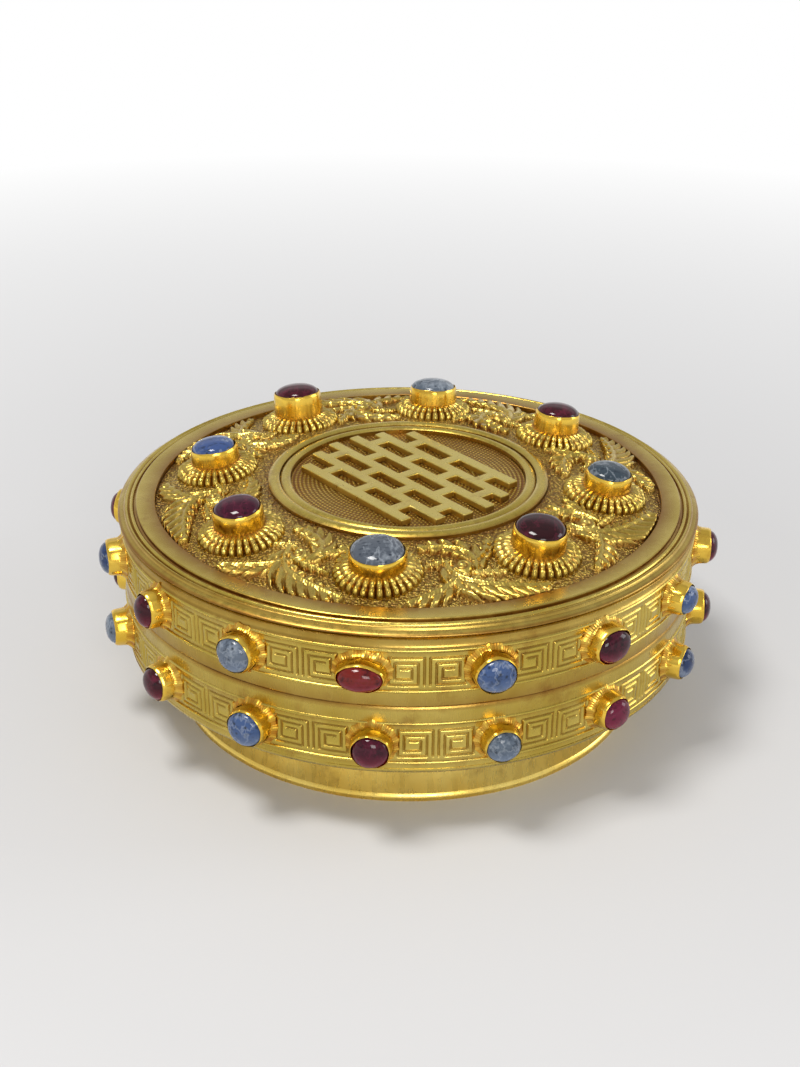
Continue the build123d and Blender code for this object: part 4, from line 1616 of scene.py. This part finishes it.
@dataclass
class TopSettings:
    """The eight rosettes on the dome with their tall collets and stones, blue and red in turn."""

    levels: Levels
    stones: tuple[TopStone, ...] = (
        TopStone(8.5, 2.2, (0.068, 0.08, 0.10)),
        TopStone(8.1, 3.1, (0.018, 0.001, 0.003)),
        TopStone(7.5, 2.5, (0.03, 0.045, 0.06)),
        TopStone(7.6, 3.2, (0.03, 0.001, 0.005)),
        TopStone(8.2, 2.8, (0.07, 0.09, 0.12)),
        TopStone(8.1, 4.0, (0.035, 0.001, 0.006)),
        TopStone(7.5, 2.6, (0.035, 0.065, 0.18)),
        TopStone(7.6, 3.0, (0.036, 0.002, 0.012)),
    )
    reach: float = 7.4
    boss_r: float = 4.4
    boss_z: float = 2.2
    petals: int = 32
    pleat_power: float = 0.6
    tip_in: float = 0.1
    notch_in: float = 0.55
    notch_d: float = 0.14
    notch_growth: float = 0.78
    skirt_z: float = -0.7
    fold_shade: float = 0.5
    fold: Pair = (6.1, 0.14)
    boss_shade: Pair = (0.8, 0.25)
    bezel_t: float = 0.42
    bezel_flare: float = 0.12
    stone_down: float = 1.15
    stone_girdle: float = 0.85
    stone_rise: float = 1.65
    crest: tuple[Pair, ...] = (
        (4.4, 2.2), (4.7, 2.16), (5.1, 2.1), (5.5, 2.02), (5.8, 1.88), (5.98, 1.66), (6.08, 1.5),
        (6.2, 1.46), (6.45, 1.42), (6.75, 1.3), (7.0, 1.05), (7.18, 0.72), (7.28, 0.42), (7.3, 0.3),
    )

    def place(self, index: int) -> Matrix:
        """Frame on the dome at one setting, leaning outwards with the dome.

        Args:
            index: Number of the setting.

        Returns:
            Matrix in millimetres.
        """
        lv = self.levels
        angle = np.radians(lv.first_setting + index * FULL_TURN_DEG / lv.settings - 90)
        middle_z = (lv.edge_z + lv.edge_z + lv.dome_rise) / 2 + lv.dome_bulge
        return (Matrix.Rotation(angle, 4, "Z") @ Matrix.Translation((lv.setting_r, 0, middle_z))
                @ Matrix.Rotation(lv.tilt, 4, "Y"))

    def pleats(self, turn: Array, seed: float) -> Array:
        """How full each pleat is round a tier: 1 on its rounded crest and 0 in the sharp notch. It is
        a power of a cosine's size, times an unevenness of two sine waves.

        Args:
            turn: Angles in radians.
            seed: Phase of the unevenness.

        Returns:
            A value for each angle.
        """
        uneven = 1 + 0.1 * np.sin(5 * turn + seed) + 0.08 * np.sin(13 * turn + 2 * seed)
        return np.clip(np.abs(np.cos(self.petals * turn / 2)) ** self.pleat_power * uneven, 0, 1.1)

    def rosette(self, seed: float, columns: int = 512) -> Patch:
        """Rosette of long pleats over two tiers. The crests slope outwards, drop a little at the edge
        of the upper tier, run on in line over the lower one and turn down at their rounded tips. The
        notches between them deepen from the boss to the edge.

        Args:
            seed: Phase of its unevenness.
            columns: Steps round it.

        Returns:
            A capped patch in its own frame.
        """
        turn = np.linspace(0, TAU, columns, endpoint=False)
        pleat = self.pleats(turn, seed)
        edge = self.reach - self.tip_in - self.notch_in * (1 - pleat)
        radius_at, crest_at = np.array(self.crest).T[:, :, None]
        t = (radius_at - self.boss_r) / (radius_at[-1] - self.boss_r)
        pleat_r = self.boss_r + (edge - self.boss_r) * t
        pleat_z = crest_at - (self.notch_d + self.notch_growth * t ** 0.8) * (1 - pleat)
        flat = np.ones((1, columns))
        radius = np.concatenate([0.3 * flat, pleat_r, (edge - 0.03)[None], 0.3 * flat])
        skirt = self.skirt_z * flat
        height = np.concatenate([self.boss_z * flat, pleat_z, skirt, skirt])
        # painted shade and toning in the notches, at the fold between the tiers and beside the boss
        fold = self.fold_shade * np.exp(-((radius_at - self.fold[0]) / self.fold[1]) ** 2)
        beside = self.boss_shade[0] * np.exp(-(radius_at - self.boss_r) / self.boss_shade[1])
        hollow = (1 - pleat) * (0.75 + 0.5 * t) + fold + beside
        cavity = np.concatenate([0.6 * flat, hollow, flat, flat])
        lines = np.broadcast_to(radial_lines(turn, self.petals), cavity.shape)
        return Patch(turned(radius, turn, height), caps=True, cavity=np.clip(cavity, 0, 1), stroke=lines)

    def build(self, finishes: Finishes) -> None:
        """Build each rosette, collet and stone as its own piece.

        Args:
            finishes: Shared materials.
        """
        for k, stone in enumerate(self.stones):
            half = stone.width / 2
            rim = self.boss_z + stone.rise
            seed = 2.3 * k
            collet = bezel(half, half, self.boss_z - 0.3, rim, self.bezel_t, self.bezel_flare, seed, 96)
            dome = cabochon(half, half, rim - self.stone_down, self.stone_girdle, self.stone_rise,
                            stone.tint, seed, 80)
            finish, slot = (BLUE_STONE, Slot.BLUE) if k % 2 == 0 else (RED_STONE, Slot.RED)
            for name, patch, sharp_deg, look, its_slot, node in (
                ("rosette_petals", self.rosette(seed), 60.0, CHASED_GILT, Slot.CHASED, "rosette"),
                ("top_bezel", collet, 40.0, BRIGHT_GILT, Slot.BRIGHT, "top_collet"),
                ("top_cabochon", dome, 40.0, finish, slot, "top_stone"),
            ):
                piece = build_mesh(f"{name}_{k + 1}", [patch.moved(self.place(k))], sharp_deg)
                dress(piece, finishes.get(look), Body.LID, its_slot, f"{node}_{k + 1}")


@dataclass(frozen=True)
class LeafBlade:
    """One acanthus blade: a curved spine, its width on the left and right of it, relief and fingers.
    The powers say how round the ridges and the outline are, and a Pair for a groove or a curl holds
    its place and its width."""

    spine: tuple[Pair, Pair, Pair]
    left: float
    right: float
    relief: float
    lobes: int
    sweep: float = 0.85
    sweep_near: float = 0.6
    sweep_growth: float = 0.12
    crest_power: float = 1.5
    ridge_power: float = 0.7
    body_powers: Pair = (0.65, 0.55)
    notch_share: float = 0.34
    pad_power: float = 5
    furrows: int = 3
    crease_d: float = 0.62
    furrow_d: float = 0.07
    crease_shade: float = 0.9
    furrow_shade: float = 0.25
    ditch_shade: float = 0.6
    curl_h: float = 0.3
    curl: Pair = (0.8, 0.16)
    stem_h: float = 0.3
    stem_w: float = 0.3
    ditch_d: float = 0.2
    ditch: Pair = (0.62, 0.22)
    least_h: float = 0.2
    edge_from: float = 0.85

    def height(self, x: Array, y: Array) -> tuple[Array, Array, Array]:
        """Relief over the ground, how recessed each point is and which finger it lies on.

        The fingers leave the spine at a slant and bend forwards, so a point belongs to the finger
        found at its share of the spine less the sweep times its distance, which counts for more
        farther out. Across, each finger is a ridge that rises slowly and falls fast, with three fine
        furrows; a crease parts it from the next, and its tip stands out of the blade's edge. The
        blade is widest before its middle.

        Args:
            x: Place across the gap.
            y: Place outwards from the ring of settings.

        Returns:
            Relief in millimetres, -1 off the blade, a recess from 0 to 1, and the finger's number.
        """
        path = bent(*self.spine)
        length = np.linalg.norm(np.diff(path, axis=0), axis=1).sum()
        distance, share, side = segment_distance(x, y, path)
        width = np.where(side > 0, self.left, self.right)
        lean = self.sweep * distance * (self.sweep_near + self.sweep_growth * distance) / length
        base = np.clip(share - lean, 0.0, 1.0)
        finger = base * self.lobes
        part = finger - np.floor(finger)
        ridge = np.clip(1 - np.abs(2 * part ** self.crest_power - 1) ** 2.0, 0, 1) ** self.ridge_power
        along, across = self.body_powers
        body = np.sin(np.pi * np.clip(base, 0.03, 0.98) ** along) ** across
        half = width * body * (1 - self.notch_share + self.notch_share * ridge)
        inside = distance / np.maximum(half, 1e-3)
        pad = np.clip(1 - inside ** self.pad_power, 0, 1) ** 0.5
        furrow = 0.5 - 0.5 * np.cos(TAU * self.furrows * part)
        reach = np.clip(inside * 1.6, 0, 1)
        curl = self.curl_h * np.exp(-((inside - self.curl[0]) / self.curl[1]) ** 2) * ridge
        stem = np.exp(-(distance / self.stem_w) ** 2)
        beside = np.exp(-((distance - self.ditch[0]) / self.ditch[1]) ** 2)
        relief = self.relief * (0.62 + 0.16 * body) + curl
        relief = relief - self.crease_d * (1 - ridge) * reach - self.furrow_d * furrow * reach
        relief = relief + (self.stem_h * stem - self.ditch_d * beside) * (1 - 0.7 * share)
        height = np.where((inside < 1) & (share < 0.995), pad * np.maximum(relief, self.least_h), -1.0)
        # painted shade and toning in creases, furrows and the ditch, and painted shade at the blade's edge
        hollow = self.crease_shade * (1 - ridge) * reach + self.furrow_shade * furrow * reach
        hollow = hollow + self.ditch_shade * beside * (1 - share)
        hollow = hollow + np.clip(inside - self.edge_from, 0, 1) * 5
        return height, np.clip(hollow, 0, 1), finger


@dataclass
class Foliage:
    """Chased scrolls in the eight gaps: in each, six blades spread out from a bud."""

    levels: Levels
    rosette_r: float = 7.4
    rows: int = 180
    columns: int = 250
    bud_r: float = 1.75
    bud_h: float = 1.5
    sunk: float = -0.3
    frame_gap: float = 0.12
    rim_gap: float = 0.06
    slab_t: float = 0.8
    blades: tuple[LeafBlade, ...] = (
        LeafBlade(((-2.4, -1.6), (-3.0, 6.4), (12.4, 6.4)), 4.6, 1.7, 1.5, 8, 1.0),
        LeafBlade(((-1.0, 2.0), (-3.4, 5.4), (-11.2, 6.8)), 1.1, 3.0, 1.25, 5, 1.0),
        LeafBlade(((1.9, 1.4), (4.4, -6.6), (-5.8, -6.9)), 2.7, 2.1, 1.35, 6, 0.95),
        LeafBlade(((1.8, -1.0), (4.8, -3.0), (6.2, -7.4)), 1.5, 1.4, 1.1, 4),
        LeafBlade(((1.0, 1.6), (4.6, 1.6), (7.0, 2.0)), 1.2, 1.2, 1.1, 4),
        LeafBlade(((-1.4, -1.8), (-4.2, -2.6), (-6.2, -1.4)), 1.2, 1.3, 1.0, 4),
    )

    def spray(self, x: Array, y: Array) -> tuple[Array, Array, Array]:
        """Highest of the blades and the bud over a gap; the bud is a dome with a spiral groove.

        Args:
            x: Place across the gap.
            y: Place outwards from the ring of settings.

        Returns:
            Relief in millimetres, -1 beside the leaves, a recess from 0 to 1, and the finger's number.
        """
        height = np.full(x.shape, -1.0)
        hollow = np.ones(x.shape)
        stroke = np.zeros(x.shape)
        for blade in self.blades:
            relief, recess, finger = blade.height(x, y)
            higher = relief > height
            height = np.where(higher, relief, height)
            hollow = np.where(higher, recess, hollow)
            stroke = np.where(higher, finger, stroke)
        reach = np.hypot(x, y)
        angle = np.arctan2(y, x)
        groove = np.cos(angle - TAU * reach / 1.1) * np.clip(reach / 0.4, 0, 1)
        dome = self.bud_h * np.sqrt(np.clip(1 - (reach / self.bud_r) ** 2, 0, 1))
        bud = np.where(reach < self.bud_r, dome + 0.16 * groove, -1.0)
        higher = bud > height
        # painted shade and toning in the bud's spiral groove
        hollow = np.where(higher, np.clip(0.4 - 0.6 * groove, 0, 1), hollow)
        return np.where(higher, bud, height), hollow, np.where(higher, 0.0, stroke)

    def patch(self, index: int) -> Patch:
        """One gap's slab: the spray over the dome, sunk under the ground where there is no leaf, and
        faded out beside the rosettes and the two rings.

        Args:
            index: Number of the gap, from 0.

        Returns:
            A capped patch.
        """
        lv = self.levels
        half_gap = np.pi / lv.settings
        inner, outer = lv.frame_r + self.frame_gap, lv.plate_r - self.rim_gap
        radius = np.linspace(inner, outer, self.rows)[:, None]
        swing = np.linspace(-half_gap, half_gap, self.columns)[None, :]
        x = radius * np.sin(swing)
        y = radius * np.cos(swing) - lv.setting_r
        height, hollow, stroke = self.spray(x, y)
        rosette_x = lv.setting_r * np.sin(half_gap)
        rosette_y = lv.setting_r * (np.cos(half_gap) - 1)
        gap = np.hypot(np.abs(x) - rosette_x, y - rosette_y) - (self.rosette_r - 0.35)
        edge = np.minimum(radius - radius.min(), radius.max() - radius)
        keep = np.clip(gap / 0.3, 0, 1) * np.clip(edge / 0.25, 0, 1)
        height = np.where(height > 0, height * keep + self.sunk * (1 - keep), self.sunk)
        turn = np.radians(lv.first_setting + (index + 0.5) * FULL_TURN_DEG / lv.settings) + swing
        wide = np.ones_like(turn)
        base_r = np.array([[outer], [inner]]) * wide
        spread = np.concatenate([radius * wide, base_r])
        levels = np.concatenate([lv.dome_z(radius) + height, lv.dome_z(base_r) - self.slab_t])
        points = np.stack([spread * np.sin(turn), -spread * np.cos(turn), levels], axis=-1)
        # full painted shade and toning off the leaves and on the slab's underside
        cavity = np.concatenate([hollow, np.ones_like(base_r)])
        stroke = np.concatenate([stroke, np.zeros_like(base_r)])
        return Patch(np.swapaxes(points, 0, 1), caps=True, cavity=cavity.T, stroke=stroke.T)

    def build(self, finishes: Finishes) -> None:
        """Build the eight sprays.

        Args:
            finishes: Shared materials.
        """
        for k in range(self.levels.settings):
            piece = build_mesh(f"acanthus_{k + 1}", [self.patch(k)], 75.0)
            dress(piece, finishes.get(CHASED_GILT), Body.LID, Slot.CHASED, f"leaf_spray_{k + 1}")


@dataclass
class Medallion:
    """The two rings, the punched disc and the raised lattice in the middle of the lid."""

    levels: Levels
    frame_w: float = 2.0
    bead_w: float = 1.8
    gap: float = 0.1
    frame_h: float = 2.0
    ground_t: float = 0.8
    bead_down: float = 0.15
    bar_bevel: float = 0.22
    bevel_steps: int = 3
    weld_gap: float = 0.01
    flat_deg: float = 2.0

    def ring(self, inner: float, outer: float, top: float) -> Array:
        """Outline of a ring with a softly rounded top and a thin raised inner edge.

        Args:
            inner: Inner radius.
            outer: Outer radius.
            top: Level of the crown.

        Returns:
            Radius and height of each point.
        """
        z = self.levels.recess_z
        crown = arc_points((outer, top - 0.45), ((inner + outer) / 2, top + 0.02), (inner, top - 0.3), 12)
        return np.array([(inner, z), (outer, z)] + crown)

    def lattice(self) -> bpy.types.Object:
        """The CAD lattice with its corners joined and eased, as a new mesh.

        Returns:
            The linked object.
        """
        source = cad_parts["medallion_lattice"]
        mesh = source.data.copy()
        mesh.materials.clear()
        piece = bpy.data.objects.new("lattice_bars", mesh)
        bpy.context.collection.objects.link(piece)
        weld = piece.modifiers.new("weld", "WELD")
        weld.merge_threshold = self.weld_gap * MM
        flat = piece.modifiers.new("flat", "DECIMATE")
        flat.decimate_type = "DISSOLVE"
        flat.angle_limit = np.radians(self.flat_deg)
        bevel = piece.modifiers.new("ease", "BEVEL")
        bevel.width = self.bar_bevel * MM
        bevel.segments = self.bevel_steps
        bevel.limit_method = "ANGLE"
        # painted shade and toning: the lower half of the bars is darker
        depth = mesh.attributes.new("cavity", "FLOAT", "POINT")
        co = np.zeros(len(mesh.vertices) * 3, dtype=np.float32)
        mesh.vertices.foreach_get("co", co)
        z = co.reshape(-1, 3)[:, 2]
        depth.data.foreach_set("value", (0.9 * (z < (z.min() + z.max()) / 2)).astype(np.float32))
        return piece

    def build(self, finishes: Finishes) -> None:
        """Build and dress the four pieces.

        Args:
            finishes: Shared materials.
        """
        lv = self.levels
        top = lv.recess_z + self.frame_h
        bead_out = lv.frame_r - self.frame_w - self.gap
        bead_in = bead_out - self.bead_w
        for name, node, inner, outer, high, seed in (
            ("frame_ring", "medallion_frame", lv.frame_r - self.frame_w, lv.frame_r, top, 5.0),
            ("bead_ring", "medallion_bead", bead_in, bead_out, top - self.bead_down, 6.0),
        ):
            outline = self.ring(inner, outer, high)
            # painted shade and toning down the sides of the ring, below its crown
            cavity = np.clip((high - 0.12 - outline[:, 1]) / 0.3, 0, 1) * 0.8
            ring = build_mesh(name, [lathe(outline, 320, 0.025, seed, cavity)])
            dress(ring, finishes.get(SMOOTH_GILT), Body.LID, Slot.CHASED, node)
        rim_r, middle_r = bead_in - 0.06, 0.3
        disc_r = np.linspace(rim_r, middle_r, 40)
        face = np.stack([disc_r, np.full(disc_r.shape, lv.recess_z + self.ground_t)], 1)
        disc = np.concatenate([[(middle_r, lv.recess_z), (rim_r, lv.recess_z)], face])
        # painted shade and toning at the disc's edge, beside the bead ring
        edge = np.exp(-(bead_in - disc[:, 0]) / 0.6)
        dress(build_mesh("punched_disc", [capped_lathe(disc, 256, np.clip(edge, 0, 1))]),
              finishes.get(PUNCHED_GILT), Body.LID, Slot.CHASED, "medallion_ground")
        dress(self.lattice(), finishes.get(BAR_GILT), Body.LID, Slot.CHASED, "medallion_lattice")


@dataclass(frozen=True)
class Lamp:
    """A square soft lamp: its place and size in metres, its power in watts and its colour."""

    name: str
    where: Triple
    size: float
    power: float
    colour: Colour


@dataclass
class Studio:
    """Floor, world, lamps and the camera at the photograph's viewing angle."""

    lamps: tuple[Lamp, ...] = (
        Lamp("key", (-0.22, -0.12, 0.75), 0.22, 4.3, (1.0, 0.98, 0.94)),
        Lamp("front", (0.12, -0.75, 0.42), 0.3, 2.4, (1.0, 0.98, 0.95)),
        Lamp("side", (0.75, 0.1, 0.3), 0.3, 1.2, (0.95, 0.97, 1.0)),
    )
    lamp_aim: Triple = (0.0, 0.0, 0.03)
    sky: tuple[Pair, ...] = ((0.0, 1.0), (0.14, 1.0), (0.26, 0.48), (0.46, 0.80), (0.7, 0.45), (1.0, 0.58))
    floor_reach: float = 6.0
    floor_tones: tuple[Colour, Colour] = ((0.50, 0.50, 0.51), (0.54, 0.54, 0.55))
    glow_from: float = 0.1
    glow_full: float = 0.42
    picture_height_px: float = 1067.0
    focal_px: float = 1600.0
    sensor_mm: float = 36.0
    eye_mm: Triple = (-1.379, -257.646, 155.991)
    elevation_deg: float = 26.34
    roll_deg: float = 0.41

    def camera(self) -> None:
        """Camera that looks level with the box's front and down by the elevation."""
        data = bpy.data.cameras.new("camera")
        data.sensor_width = self.sensor_mm
        data.lens = self.focal_px / self.picture_height_px * self.sensor_mm
        data.clip_start = 0.01
        data.clip_end = 50.0
        camera = bpy.data.objects.new("camera", data)
        bpy.context.collection.objects.link(camera)
        e = np.radians(self.elevation_deg)
        roll = np.radians(self.roll_deg)
        back = np.array([0.0, -np.cos(e), np.sin(e)])
        right = np.array([1.0, 0.0, 0.0])
        up = np.cross(back, right)
        across = np.cos(roll) * right + np.sin(roll) * up
        upright = -np.sin(roll) * right + np.cos(roll) * up
        matrix = Matrix(np.stack([across, upright, back], axis=1).tolist()).to_4x4()
        matrix.translation = Vector(self.eye_mm) * MM
        camera.matrix_world = matrix
        bpy.context.scene.camera = camera

    def lamp(self, plan: Lamp) -> None:
        """Add one lamp and aim it at the box.

        Args:
            plan: Its place, size, power and colour.
        """
        data = bpy.data.lights.new(plan.name, "AREA")
        data.shape = "SQUARE"
        data.size = plan.size
        data.energy = plan.power
        data.color = plan.colour
        lamp = bpy.data.objects.new(plan.name, data)
        bpy.context.collection.objects.link(lamp)
        lamp.location = plan.where
        aim = Vector(self.lamp_aim) - Vector(plan.where)
        lamp.rotation_euler = aim.to_track_quat("-Z", "Y").to_euler()

    def floor(self) -> None:
        """Plain pale floor that takes the box's shadow. What the camera and the mirrored rays see of it
        whitens with the distance from the box, towards the background."""
        reach = self.floor_reach
        mesh = bpy.data.meshes.new("floor")
        corners = [(-reach, -reach, 0), (reach, -reach, 0), (reach, reach, 0), (-reach, reach, 0)]
        mesh.from_pydata(corners, [], [tuple(range(CORNERS))])
        floor = bpy.data.objects.new("floor", mesh)
        bpy.context.collection.objects.link(floor)
        graph = Graph("floor_pale")
        tone = graph.noise(3.0, 2.0, 0.5)
        tone = graph.ramp(tone, tuple(zip((0.3, 0.7), self.floor_tones)))
        graph.link(tone, graph.shader.inputs["Base Color"])
        graph.shader.inputs["Roughness"].default_value = 0.8
        length = graph.tree.nodes.new("ShaderNodeVectorMath")
        length.operation = "LENGTH"
        graph.tree.links.new(graph.place, length.inputs[0])
        paths = graph.tree.nodes.new("ShaderNodeLightPath").outputs
        mirrored = graph.math("MAXIMUM", paths["Is Glossy Ray"], paths["Is Transmission Ray"])
        seen = graph.math("MAXIMUM", paths["Is Camera Ray"], mirrored)
        away = graph.spread(length.outputs["Value"], self.glow_from, self.glow_full, 0.0, 1.0)
        glow = graph.tree.nodes.new("ShaderNodeEmission")
        mix = graph.tree.nodes.new("ShaderNodeMixShader")
        output = next(n for n in graph.tree.nodes if n.type == "OUTPUT_MATERIAL")
        graph.link(graph.math("MULTIPLY", seen, away), mix.inputs[0])
        graph.link(graph.shader.outputs["BSDF"], mix.inputs[1])
        graph.link(glow.outputs[0], mix.inputs[2])
        graph.tree.links.new(mix.outputs[0], output.inputs["Surface"])
        mesh.materials.append(graph.material)

    def world(self) -> None:
        """White at the horizon, as the backdrop of a studio, and greyer overhead."""
        world = bpy.data.worlds.new("studio")
        bpy.context.scene.world = world
        world.use_nodes = True
        tree = world.node_tree
        tree.nodes.clear()
        output = tree.nodes.new("ShaderNodeOutputWorld")
        background = tree.nodes.new("ShaderNodeBackground")
        place = tree.nodes.new("ShaderNodeTexCoord")
        split = tree.nodes.new("ShaderNodeSeparateXYZ")
        ramp = tree.nodes.new("ShaderNodeValToRGB")
        tree.links.new(place.outputs["Generated"], split.inputs[0])
        tree.links.new(split.outputs["Z"], ramp.inputs["Fac"])
        fill_ramp(ramp.color_ramp, [(where, (grey, grey, grey)) for where, grey in self.sky])
        tree.links.new(ramp.outputs["Color"], background.inputs["Color"])
        tree.links.new(background.outputs[0], output.inputs["Surface"])

    def build(self) -> None:
        """Set up the whole studio."""
        self.camera()
        self.floor()
        self.world()
        for plan in self.lamps:
            self.lamp(plan)
        bpy.context.scene.view_settings.view_transform = "Standard"


@dataclass
class GiltBox:
    """The whole box, built sub-assembly by sub-assembly."""

    levels: Levels
    walls: tuple[WallPlan, ...] = (BASE_PLAN, LID_PLAN)
    finishes: Finishes = field(default_factory=Finishes)

    def build(self) -> None:
        """Build every sub-assembly in order."""
        shell = TurnedShell(self.levels)
        shell.build(self.finishes)
        margin = shell.line_w / 2
        for plan in self.walls:
            low, high = shell.lines(plan.body)
            FretBand(self.levels, plan, low + margin, high - margin).build(self.finishes)
        for plan in self.walls:
            SideSettings(self.levels, plan, sum(shell.lines(plan.body)) / 2).build(self.finishes)
        for part in (TopSettings, Foliage, Medallion):
            part(self.levels).build(self.finishes)


def main() -> None:
    """Build the box and the studio."""
    logging.basicConfig(level=logging.INFO, format="%(name)s: %(message)s")
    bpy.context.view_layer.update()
    GiltBox(Levels.read()).build()
    Studio().build()


if __name__ == "__main__":
    main()
